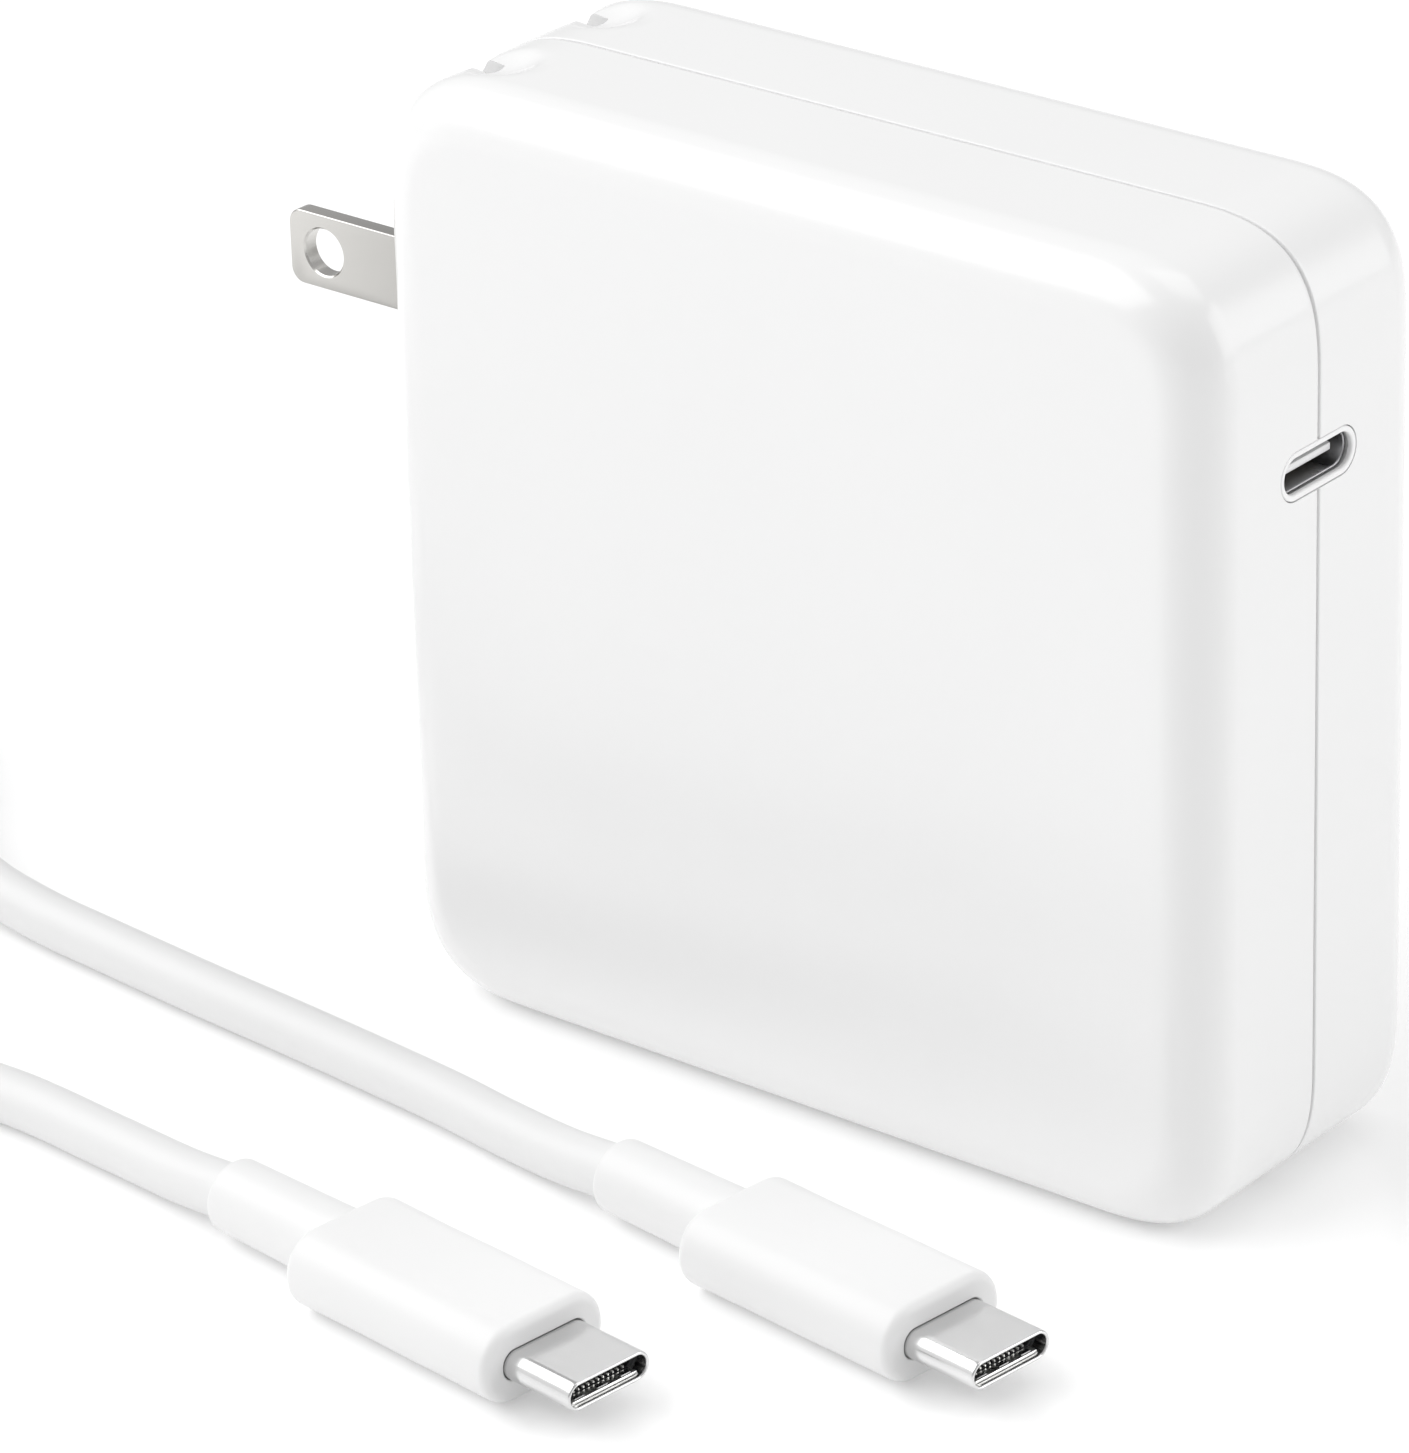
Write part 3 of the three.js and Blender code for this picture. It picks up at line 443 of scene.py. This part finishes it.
def sintered(name, color):
    """Pressed and fired ferrite: matt, with pits."""
    made = Finish(name, color, 0.65)
    pits = made.noise(700, 6, rough=0.7)
    made.set("Base Color", made.blend(made.range(pits, 0.3, 0.7, 0, 1), tint(color, 0.7), tint(color, 1.4)))
    made.set("Roughness", made.range(pits, 0.3, 0.7, 0.5, 0.8))
    made.bump(pits, 0.05 * MM)
    return made.material


def woven_strap(name, color):
    """Hook and loop strap: two crossed waves under loose fuzz."""
    made = Finish(name, color, 0.85, Sheen_Weight=0.4)
    threads = {"Vector": made.place(), "Scale": 500.0}
    warp = made.node("ShaderNodeTexWave", {"bands_direction": "X"}, threads, "Fac")
    weft = made.node("ShaderNodeTexWave", {"bands_direction": "Y"}, threads, "Fac")
    weave = warp * weft + made.noise(1800, 3) * 0.5
    shown = made.range(weave, 0.2, 1.0, 0, 1)
    made.set("Base Color", made.blend(shown, tint(color, 0.75), tint(color, 1.05)))
    made.bump(weave, 0.12 * MM)
    return made.material


WHITE = (0.86, 0.86, 0.86)
housing_white = moulded("housing_white", WHITE, 0.24, Coat_Weight=0.25, Coat_Roughness=0.12)
trim_white = moulded("trim_white", (0.9, 0.9, 0.9), 0.25, 0.001)
lead_white = moulded("lead_white", (0.82, 0.82, 0.82), 0.38, 0.003)
jacket_white = moulded("jacket_white", (0.78, 0.78, 0.78), 0.42, 0.006)
rotor_grey = moulded("rotor_nylon", (0.8, 0.79, 0.76), 0.5, 0.01)
insulator_cream = moulded("insulator_cream", (0.78, 0.76, 0.68), 0.5, 0.01)
insulator_black = moulded("insulator_black", (0.035, 0.035, 0.038), 0.45, 0.004)
package_black = moulded("package_black", (0.03, 0.03, 0.032), 0.5, 0.008)
sleeve_blue = moulded("sleeve_blue", (0.04, 0.07, 0.16), 0.3, 0.003)
film_yellow = moulded("film_yellow", (0.72, 0.55, 0.1), 0.35, 0.004)
wire_black = moulded("wire_black", (0.05, 0.05, 0.05), 0.5, 0.004)
blade_nickel = plated("blade_nickel", (0.56, 0.55, 0.53), 0.24)
plug_steel = drawn_metal("plug_steel", (0.7, 0.7, 0.7), 0.2, (0.04, 1, 1), turn=(0, 0, PLUG_TURN))
port_steel = drawn_metal("port_steel", (0.42, 0.42, 0.43), 0.3, (0.04, 1, 1))
spring_bronze = drawn_metal("spring_bronze", (0.75, 0.55, 0.3), 0.3, (1, 1, 0.05))
sheet_aluminium = drawn_metal("sheet_aluminium", (0.72, 0.73, 0.75), 0.38, (0.05, 1, 1))
contact_gold = drawn_metal("contact_gold", (0.85, 0.68, 0.35), 0.25, (0.1, 1, 1))
contact_tin = drawn_metal("contact_tin", (0.9, 0.9, 0.88), 0.3, (0.1, 1, 1))
board_green = etched_board("board_green", (0.03, 0.16, 0.07))
ferrite_grey = sintered("ferrite_grey", (0.05, 0.05, 0.055))
winding_tape = wound("winding_tape", (0.75, 0.55, 0.12), 1.2, (0, math.pi / 2, 0))
winding_copper = wound("winding_copper", (0.6, 0.28, 0.12), 0.8)
strap_grey = woven_strap("strap_grey", (0.72, 0.72, 0.72))

NODE_FINISHES = {
    housing_white: ["plug_bezel"],
    rotor_grey: ["blade_rotor"],
    insulator_cream: ["plug_keeper", "insulation_sheet", "fuse"],
    insulator_black: ["plug_core_a", "plug_core_b"],
    spring_bronze: ["spring_live", "spring_neutral"],
    wire_black: ["wire_live", "wire_neutral"],
    board_green: ["main_board", "usb_board"],
    package_black: ["bridge_rectifier", "switch_transistor", "rectifier_transistor"],
    sleeve_blue: [f"{kind}_capacitor_{i}" for kind in ("bulk", "output") for i in (1, 2)],
    film_yellow: ["x_capacitor"],
    ferrite_grey: ["transformer_core", "line_choke"],
    winding_tape: ["transformer_winding"],
    winding_copper: ["output_choke"],
    sheet_aluminium: ["heat_spreader"],
    strap_grey: ["cord_tie"],
}
for finish, names in NODE_FINISHES.items():
    for node_name in names:
        node = frame["nodes"][node_name]
        for index in range(len(node.material_slots)):
            node.material_slots[index].material = finish


# ---- charging lead ----
def spline(points, step=1.5):
    """A Catmull-Rom curve through the points, resampled at an even step."""
    points = np.asarray(points, dtype=float)
    ends = np.vstack([2 * points[0] - points[1], points, 2 * points[-1] - points[-2]])
    parts = []
    for a, b, c, d in zip(ends, ends[1:], ends[2:], ends[3:]):
        t = np.linspace(0, 1, 40, endpoint=False)[:, None]
        square, cube = 2 * a - 5 * b + 4 * c - d, 3 * b - a - 3 * c + d
        parts.append(0.5 * (2 * b + (c - a) * t + square * t**2 + cube * t**3))
    curve = np.vstack([*parts, points[-1:]])
    run = np.concatenate([[0], np.cumsum(np.linalg.norm(np.diff(curve, axis=0), axis=1))])
    even = np.linspace(0, run[-1], int(run[-1] / step) + 1)
    return np.column_stack([np.interp(even, run, curve[:, i]) for i in range(3)])


COIL_OUTER = 38.5
COIL_PITCH = CORD + CORD_GAP
COIL_COLUMNS = 5
COIL_START, COIL_END = math.radians(-69), math.radians(40)
coil_low, coil_high = node_box("cord_coil")
coil_centre = (coil_low + coil_high) / 2


def coil_turns():
    """Turns laid side by side from the outside in, then back out on top of them. Each turn
    is a circle that shifts by one place during its last sixth."""
    places = list(range(COIL_COLUMNS)) + list(range(COIL_COLUMNS))[::-1]
    part = (COIL_START - COIL_END + 2 * math.pi) % (2 * math.pi) / (2 * math.pi)
    total = len(places) - 1 + part
    turn = np.linspace(0, total, int(total * 60))
    at = np.minimum(turn.astype(int), len(places) - 1)
    following = np.minimum(at + 1, len(places) - 1)
    ease = np.clip((turn - at - 5 / 6) * 6, 0, 1)
    ease = ease * ease * (3 - 2 * ease)
    column = np.array(places, dtype=float)
    layer = np.array([0.0] * COIL_COLUMNS + [1.0] * COIL_COLUMNS)
    radius = COIL_OUTER - COIL_PITCH * (column[at] + (column[following] - column[at]) * ease)
    height = coil_low[2] + CORD / 2 + COIL_PITCH * (layer[at] + (layer[following] - layer[at]) * ease)
    angle = COIL_START - 2 * math.pi * turn
    x, y = coil_centre[0] + radius * np.cos(angle), coil_centre[1] + radius * np.sin(angle)
    return np.column_stack([x, y, height])


def along(centre, turn, travel, side=0.0, height=0.0):
    """A point on a plug: travel along its axis, side across it."""
    return (
        centre[0] + travel * math.cos(turn) - side * math.sin(turn),
        centre[1] + travel * math.sin(turn) + side * math.cos(turn),
        centre[2] + height,
    )


def lead_origin(letter):
    """The middle of an overmould's front face, where its steel shell comes out."""
    low, high = node_box(f"overmold_{letter}")
    return along((low + high) / 2, PLUG_TURN, OVERMOLD[0] / 2)


def lead_route():
    """From the rear plug's strain relief along the surface, through the coil, to the front plug's."""
    lying = CORD / 2 + CORD_GAP
    front = np.array([
        (-30, -52.6, lying + 0.25), (-38, -51.6, lying), (-50, -50.7, lying), (-60, -51.9, lying),
        (-68, -54.8, lying), (-75, -58.2, lying + 0.1), (-82, -61.6, lying + 0.3),
        (-89, -64.4, lying + 0.7), (-96.3, -67.1, 3.55), (-105, -70.4, 3.55),
    ])
    rear = np.array([
        (-8, -32.7, lying + 0.25), (-15, -31.6, lying), (-23, -30.4, lying), (-38, -28.9, lying),
        (-50, -27.9, lying), (-62, -26.7, lying), (-70, -25.9, lying + 0.1), (-78, -24.6, lying + 0.7),
        (-86, -21.9, 4.6), (-92.5, -18.2, 6.4),
    ])
    ends = []
    for letter, route in (("a", front), ("b", rear)):
        route[:, 0] += HOUSING_X
        leaves = along(lead_origin(letter), PLUG_TURN, RELIEF_END)
        ends.append(np.vstack([leaves, route]))
    turns = coil_turns()
    into = spline(np.vstack([ends[0], turns[:1]]))
    out = spline(np.vstack([turns[-1:], ends[1][::-1]]))
    return np.vstack([into[:-1], turns, out[1:]])[::-1]


def sweep_tube(name, path, radius, sides=20):
    """A round section carried along the path with as little twist as possible, capped at both ends."""
    ahead = np.gradient(path, axis=0)
    ahead /= np.linalg.norm(ahead, axis=1, keepdims=True)
    side = np.cross(ahead, [0, 0, 1])
    side /= np.linalg.norm(side, axis=1, keepdims=True)
    over = np.cross(side, ahead)
    angle = np.linspace(0, 2 * math.pi, sides, endpoint=False)
    rings = (path[:, None] + radius * (np.cos(angle)[None, :, None] * side[:, None]
                                       + np.sin(angle)[None, :, None] * over[:, None]))
    rows = len(path)
    faces = grid_faces(rows, sides, False).tolist()
    faces.append(list(range(sides))[::-1])
    faces.append(list(range((rows - 1) * sides, rows * sides)))
    return make_mesh(name, rings.reshape(-1, 3), faces, 60)


lead_path = lead_route()
lead = sweep_tube("lead_jacket", lead_path, CORD / 2)
finish_piece(lead, jacket_white, stands_for=("cord_a", "cord_b", "cord_coil"))


# ---- lead ends ----
def slotted(width, thickness):
    """Outline of a flat oval."""
    return rounded(width, thickness, thickness / 2 - 0.001, 20)


def lead_end(letter):
    """Overmould, strain relief, steel shell and what shows inside its mouth, on one axis."""
    origin = lead_origin(letter)
    pieces = []

    def add(piece, material, slot, *stands_for):
        pieces.append(finish_piece(piece, material, stands_for=stands_for))

    length, width, thick = OVERMOLD
    seat = (width - PLUG_WIDTH) / 2 - 0.03
    body = loft(f"overmold_skin_{letter}", rounded(width, thick, thick / 2 - 0.1, 24), [
        (thick / 2 - 0.3, -length), *arc(0.9, -length + 0.9, 0.9, 270, 180, 10),
        (0.05, -length * 0.7), (0.0, -length * 0.4), (0.02, -6), *arc(0.8, -0.8, 0.8, 180, 90, 8),
        (seat - 0.1, 0.0), (seat, -0.08), (seat, -1.4), (thick / 2 - 0.3, -1.4),
    ], "X", origin, turn=PLUG_TURN)
    add(body, lead_white, "lead_white", f"overmold_{letter}")

    start, end, radius = RELIEF_START, RELIEF_END, RELIEF_RADIUS
    relief = loft(f"relief_sleeve_{letter}", rounded(radius * 2, radius * 2, radius - 0.01, 16), [
        (radius - 0.5, start), (0.0, start), (0.06, start - 3),
        (0.2, end + 0.5), *arc(0.5, end + 0.3, 0.3, 180, 270, 4), (radius - 0.5, end),
    ], "X", origin, turn=PLUG_TURN)
    add(relief, lead_white, "lead_white", f"strain_relief_{letter}")

    lip = SHEET
    shell = loft(f"plug_mouth_{letter}", slotted(PLUG_WIDTH, PLUG_THICK), [
        (0.0, -PLUG_SEAT), (0.0, 1.5), (0.0, PLUG_REACH - 0.5),
        *arc(lip / 2 + 0.02, PLUG_REACH - lip / 2, lip / 2, 180, 0, 10),
        (lip, PLUG_REACH - 0.6), (lip, 1.5), (lip, -PLUG_SEAT),
    ], "X", origin, closed=True, turn=PLUG_TURN, sharp_deg=50)
    add(shell, plug_steel, "plug_steel", f"plug_shell_{letter}")

    # Lining of the mouth: a dark collar deep inside, and a light ledge on the lower wall.
    inner_width, inner_thick = PLUG_WIDTH - 2 * lip, PLUG_THICK - 2 * lip
    collar = loft(f"mouth_collar_{letter}", slotted(inner_width - 0.04, inner_thick - 0.04), [
        (0.0, 1.6), (0.0, PLUG_REACH - 1.5), (0.28, PLUG_REACH - 1.5), (0.28, 1.6),
    ], "X", origin, closed=True, turn=PLUG_TURN)
    add(collar, insulator_black, "plug_insulator")
    ledge_width, ledge_top = 6.6, -inner_thick / 2 + 0.3
    for side, word in ((-1, "lower"), (1, "upper")):
        ledge = loft(f"mouth_ledge_{letter}_{word}", rounded(ledge_width, 0.24, 0.08, 4), [
            (0.08, PLUG_REACH - 1.4), (0.0, PLUG_REACH - 1.35),
            (0.0, PLUG_REACH - 0.55), (0.08, PLUG_REACH - 0.5),
        ], "X", along(origin, PLUG_TURN, 0, 0, side * (inner_thick / 2 - 0.16)), turn=PLUG_TURN)
        add(ledge, contact_tin, "plug_steel")
        windows = [
            loft("window", rounded(1.0, 0.05, 0.02, 2), [
                (0.0, PLUG_REACH - 1.15), (0.0, PLUG_REACH - 0.75),
            ], "X", along(origin, PLUG_TURN, 0, offset, side * ledge_top), turn=PLUG_TURN)
            for offset in (-2.35, 0.0, 2.35)
        ]
        add(join(f"ground_springs_{letter}_{word}", windows), port_steel, "plug_insulator")
        tips = [
            loft("tip", rounded(0.22, 0.3, 0.08, 3), [
                (0.05, PLUG_REACH - 2.6), (0.0, PLUG_REACH - 2.5),
                (0.0, PLUG_REACH - 1.55), (0.06, PLUG_REACH - 1.45),
            ], "X", along(origin, PLUG_TURN, 0, offset, side * (inner_thick / 2 - 0.42)), turn=PLUG_TURN)
            for offset in contact_offsets()
        ]
        add(join(f"plug_contacts_{letter}_{word}", tips), contact_tin, "contact_brass")
    return pieces


def contact_offsets():
    """Places of a row of contacts about its middle."""
    return [(place - (CONTACTS - 1) / 2) * CONTACT_PITCH for place in range(CONTACTS)]


def join(name, parts):
    """One mesh of several separate closed solids, which it replaces."""
    points, faces, base = [], [], 0
    for part in parts:
        mesh = part.data
        points.extend([list(vertex.co / MM) for vertex in mesh.vertices])
        faces.extend([[index + base for index in polygon.vertices] for polygon in mesh.polygons])
        base += len(mesh.vertices)
        bpy.data.objects.remove(part)
    return make_mesh(name, points, faces)


for letter in "ab":
    lead_end(letter)


# ---- housing ----
def housing_outline(inset):
    """Straight edges joined by corners on |x|^p + |z|^p = 1; the corner shrinks with the inset."""
    reach = CORNER_REACH - inset
    angle = np.linspace(0, math.pi / 2, 49)
    quarter = reach * np.column_stack([np.cos(angle), np.sin(angle)]) ** (2 / CORNER_POWER)
    straight_x, straight_z = WIDTH / 2 - CORNER_REACH, HEIGHT / 2 - CORNER_REACH
    corners = []
    for sign_x, sign_z in ((1, 1), (-1, 1), (-1, -1), (1, -1)):
        swing = quarter if sign_x * sign_z > 0 else quarter[::-1]
        corners.append(np.array([sign_x, sign_z]) * (swing + [straight_x, straight_z]))
    parts = []
    for corner, following in zip(corners, corners[1:] + corners[:1]):
        between = np.linspace(corner[-1], following[0], 14)[1:-1]
        parts.extend([corner, between])
    ring = np.vstack(parts)
    return ring + [HOUSING_X, HEIGHT / 2]


SCOOPS = ((45, 8.0, 1.3), (77, 6.3, 0.9))  # angle on the corner, length and depth


def scooped(points):
    """Pushes the corner over each blade slot inwards to two overlapping spheres, with a soft
    brim. A sphere sits at an angle t on the corner curve (cos t, sin t)^(2/p)."""
    for angle, length, depth in SCOOPS:
        t = math.radians(angle)
        power = 2 / CORNER_POWER
        brow = CORNER_REACH * np.array([-math.cos(t) ** power, 0, math.sin(t) ** power])
        away = np.sign(brow) * np.abs(brow) ** (CORNER_POWER - 1)
        away /= np.linalg.norm(away)
        radius = (length**2 / 4 + depth**2) / (2 * depth)
        for y in (-BLADE_Y, BLADE_Y):
            corner = np.array([shell_low[0] + CORNER_REACH, y, HEIGHT - CORNER_REACH])
            centre = corner + brow + away * (radius - depth)
            inside = radius - np.linalg.norm(points - centre, axis=1)
            push = BRIM * np.log1p(np.exp(np.clip(inside / BRIM, -30, 30)))
            points = points - away * push[:, None]
    return points


def housing_half(name, side):
    """One shell: inner wall, parting edge and rounded outer wall as one profile. The front one
    carries a tongue across the parting line and the back one a rebate for it."""
    face, seam, edge = DEPTH / 2, SEAM / 2, 0.12
    inside, inner_round = face - WALL, EDGE_ROUND - WALL
    middle = CORNER_REACH - 0.3
    rim = [(0.0, y) for y in np.linspace(seam + edge, face - EDGE_ROUND, 42)]
    lower = arc(edge, seam + edge, edge, 270, 180, 4)[:-1]
    outer = [*lower, *rim, *arc(EDGE_ROUND, face - EDGE_ROUND, EDGE_ROUND, 180, 90, 24)[1:]]
    inner = [(middle, inside), *arc(WALL + inner_round, inside - inner_round, inner_round, 90, 180, 8)]
    if side < 0:
        lip = [(WALL, -0.6), (0.45, -0.6), (0.45, seam)]
    else:
        lip = [(WALL, 0.75), (0.38, 0.75), (0.38, seam)]
    profile = [*inner, *lip, *outer, (8.0, face), (middle, face)]
    steps = [(inset, side * y) for inset, y in profile]
    return loft(name, housing_outline, steps, "Y", move=scooped)


def plain_prism(points, axis, start, end):
    return loft("cutter", traced(points), [(0.0, start), (0.0, end)], axis)


SLOT_BACK = PIVOT_X + (live_high[2] - live_low[2]) / 2 + SWEEP_GAP
SLOT_HALF = BLADE_THICKNESS / 2 + FIT
BLADE_Y = abs(live_low[1] + live_high[1]) / 2


def slot_cutter(side):
    """The space that a folded blade swings through and lies in."""
    tip_round = BLADE_TIP_ROUND + FIT + 0.1
    back = SLOT_BACK
    top = PIVOT_Z + (PIVOT_X - live_low[0]) + 0.4
    bottom, left = bezel_high[2] - 1, shell_low[0] - 5
    angle = np.linspace(0, math.pi / 2, 13)
    turn = [back - tip_round, top - tip_round] + tip_round * np.column_stack([np.cos(angle), np.sin(angle)])
    outline = np.vstack([[left, bottom], [back, bottom], turn, [left, top]])
    return plain_prism(outline, "Y", side * BLADE_Y - SLOT_HALF, side * BLADE_Y + SLOT_HALF)


def trough(side):
    """Block round a slot, reaching from the wall into the housing."""
    back = SLOT_BACK + TROUGH_FLOOR
    half = SLOT_HALF + TROUGH_WALL
    low = bezel_high[2] + 2 * FIT
    left, top = shell_low[0] + 1.0, HEIGHT - 1.0
    bevel, waist = 7.4, 2.7
    outline = [
        (left, low), (back, low), (back, top), (left + bevel, top), (left + waist, top - waist),
        (left, top - bevel),
    ]
    return plain_prism(outline, "Y", side * BLADE_Y - half, side * BLADE_Y + half)


def port_cutters():
    """The trim's seat and the passage behind it."""
    ring_width, ring_thick = ring_high[1] - ring_low[1], ring_high[2] - ring_low[2]
    height = (ring_low[2] + ring_high[2]) / 2
    seat = loft("cutter", slotted(ring_width + 0.16, ring_thick + 0.16), [
        (0.0, ring_low[0] - 0.1), (0.0, ring_high[0] + 5),
    ], "X", (0, 0, height))
    passage = loft("cutter", slotted(ring_width - 0.4, ring_thick - 0.4), [
        (0.0, ring_low[0] - 6), (0.0, ring_high[0]),
    ], "X", (0, 0, height))
    return [seat, passage]


def bezel_cutter():
    height = bezel_high[2] - bezel_low[2]
    middle = (bezel_high[2] + bezel_low[2]) / 2
    return loft("cutter", rounded(PAD_WIDTH + FIT, height + FIT, 1.6, 6), [
        (0.0, shell_low[0] - 5), (0.0, shell_low[0] + WALL + 1),
    ], "X", (0, 0, middle))


for shell_name, node_name, side in (("front_case", "front_shell", -1), ("back_case", "back_shell", 1)):
    case = housing_half(shell_name, side)
    carve(case, trough(side), "UNION")
    for cutter in (slot_cutter(side), bezel_cutter(), *port_cutters()):
        carve(case, cutter)
    finish_piece(case, housing_white, stands_for=(node_name,))


# ---- mains blades ----
def blade_outline():
    """Parallel edges, a round-cornered tip, a half circle at the pivot and a narrow tail."""
    half = (live_high[2] - live_low[2]) / 2
    tip, tail_end = live_low[0], live_high[0]
    tail = TAIL_WIDTH / 2
    start = math.asin(tail / half)

    def swing(centre_x, centre_z, radius, a, b, steps):
        angle = np.linspace(a, b, steps)
        return np.column_stack([centre_x + radius * np.cos(angle), centre_z + radius * np.sin(angle)])

    round_x = tip + BLADE_TIP_ROUND
    return np.vstack([
        swing(PIVOT_X, PIVOT_Z, half, -math.pi / 2, -start, 24),
        swing(tail_end - tail, PIVOT_Z, tail, -math.pi / 2, math.pi / 2, 17),
        swing(PIVOT_X, PIVOT_Z, half, start, math.pi / 2, 24),
        swing(round_x, PIVOT_Z + half - BLADE_TIP_ROUND, BLADE_TIP_ROUND, math.pi / 2, math.pi, 13),
        swing(round_x, PIVOT_Z - half + BLADE_TIP_ROUND, BLADE_TIP_ROUND, math.pi, 1.5 * math.pi, 13),
    ])


def blade(name, node_name, y):
    """Punched strip with eased edges; the contact hole's rims are chamfered."""
    half, ease = BLADE_THICKNESS / 2, 0.16
    profile = [*arc(ease, -half + ease, ease, 270, 180, 5), *arc(ease, half - ease, ease, 180, 90, 5)]
    piece = loft(name, traced(blade_outline()), profile, "Y", (0, y, 0))
    for x, radius in ((live_low[0] + BLADE_HOLE_INSET, BLADE_HOLE / 2), (PIVOT_X, NECK_BORE)):
        rim = 0.14
        drill = loft("cutter", rounded(2 * radius, 2 * radius, radius - 0.001, 18), [
            (-rim * 3, -half - rim * 2), (-rim, -half), (0.0, -half + rim), (0.0, half - rim), (-rim, half),
            (-rim * 3, half + rim * 2),
        ], "Y", (x, y, PIVOT_Z))
        carve(piece, drill)
    return finish_piece(piece, blade_nickel, BLADES, (node_name,))


blade("live_prong", "blade_live", (live_low[1] + live_high[1]) / 2)
blade("neutral_prong", "blade_neutral", (neutral_low[1] + neutral_high[1]) / 2)


# ---- port ----
def usb_port():
    """White trim with a rolled inner rim, a dark steel mouth and the tongue with its contacts."""
    height = (ring_low[2] + ring_high[2]) / 2
    lip = 0.5
    trim = loft("port_trim", slotted(ring_high[1] - ring_low[1], ring_high[2] - ring_low[2]), [
        (0.0, ring_low[0]), (0.0, ring_high[0] - 0.12),
        *arc(0.12, ring_high[0] - 0.12, 0.12, 180, 90, 4)[1:],
        *arc(lip - 0.2, ring_high[0] - 0.2, 0.2, 90, 0, 6), (lip, ring_low[0]),
    ], "X", (0, 0, height), closed=True, sharp_deg=50)
    finish_piece(trim, trim_white, stands_for=("port_ring",))

    mouth = loft("port_mouth", slotted(port_high[1] - port_low[1], port_high[2] - port_low[2]), [
        (0.0, port_low[0]), (0.0, port_high[0] - 0.1),
        *arc(SHEET / 2, port_high[0] - SHEET / 2, SHEET / 2, 180, 0, 6),
        (SHEET, port_high[0] - 2), (SHEET, port_low[0]),
    ], "X", (0, 0, height), closed=True, sharp_deg=50)
    finish_piece(mouth, port_steel, stands_for=("port_shell",))

    front = tongue_high[0]
    tongue = loft("port_blade", rounded(TONGUE_WIDTH, TONGUE_THICK, 0.12, 4), [
        (0.25, front), (0.08, front - 0.08), (0.0, front - 0.3),
        (0.0, port_low[0] + 1.9), (-0.55, port_low[0] + 1.8), (-0.55, port_low[0] + 0.2),
    ], "X", (0, 0, height))
    finish_piece(tongue, trim_white, stands_for=("port_tongue",))
    for side, word in ((-1, "lower"), (1, "upper")):
        pads = [
            loft("pad", rounded(0.26, 0.06, 0.02, 2), [
                (0.0, port_low[0] + 2.4), (0.0, front - 0.9 - 0.35 * (place % 3 == 0)),
            ], "X", (0, offset, height + side * TONGUE_THICK / 2))
            for place, offset in enumerate(contact_offsets())
        ]
        finish_piece(join(f"port_contacts_{word}", pads), contact_gold)


usb_port()


# ---- floor and light ----
def stage_floor():
    reach = 3.0
    corners = [(-reach, -reach, 0), (reach, -reach, 0), (reach, reach, 0), (-reach, reach, 0)]
    mesh = bpy.data.meshes.new("floor")
    mesh.from_pydata(corners, [], [(0, 1, 2, 3)])
    floor = bpy.data.objects.new("floor", mesh)
    bpy.context.scene.collection.objects.link(floor)
    glow = {"Emission_Color": (1, 1, 1, 1), "Emission_Strength": 0.16}
    paper = Finish("floor_paper", (0.9, 0.9, 0.9), 0.22, **glow)
    mesh.materials.append(paper.material)


def soft_box(name, place, aim, size, power):
    """A rectangular lamp at place that faces aim, in metres, with its power in watts."""
    data = bpy.data.lights.new(name, "AREA")
    data.shape = "RECTANGLE"
    data.size, data.size_y = size
    data.energy = power
    lamp = bpy.data.objects.new(name, data)
    bpy.context.scene.collection.objects.link(lamp)
    direction = Matrix.Identity(3)
    gaze = np.array(aim, dtype=float) - np.array(place, dtype=float)
    gaze /= np.linalg.norm(gaze)
    side = np.cross(gaze, [0, 0.01, 1])
    side /= np.linalg.norm(side)
    up = np.cross(side, gaze)
    for row in range(3):
        direction[row][0], direction[row][1], direction[row][2] = side[row], up[row], -gaze[row]
    lamp.matrix_world = Matrix.Translation(place) @ direction.to_4x4()


def studio():
    world = bpy.data.worlds.new("studio")
    bpy.context.scene.world = world
    world.use_nodes = True
    background = world.node_tree.nodes["Background"]
    background.inputs["Color"].default_value = (1, 1, 1, 1)
    background.inputs["Strength"].default_value = 0.52
    aim = (0, 0, 0.04)
    soft_box("key", (-0.575, -0.43, 0.74), aim, (1.3, 0.8), 7.5)
    soft_box("side", (0.8, 0.5, 0.37), aim, (0.7, 0.7), 3.0)
    soft_box("top", (0.15, 0.3, 1.1), aim, (0.8, 0.8), 2.2)
    soft_box("fill", (-0.7, -0.85, 0.22), aim, (1.0, 0.5), 0.7)


stage_floor()
studio()
bpy.context.scene.view_settings.view_transform = "Standard"
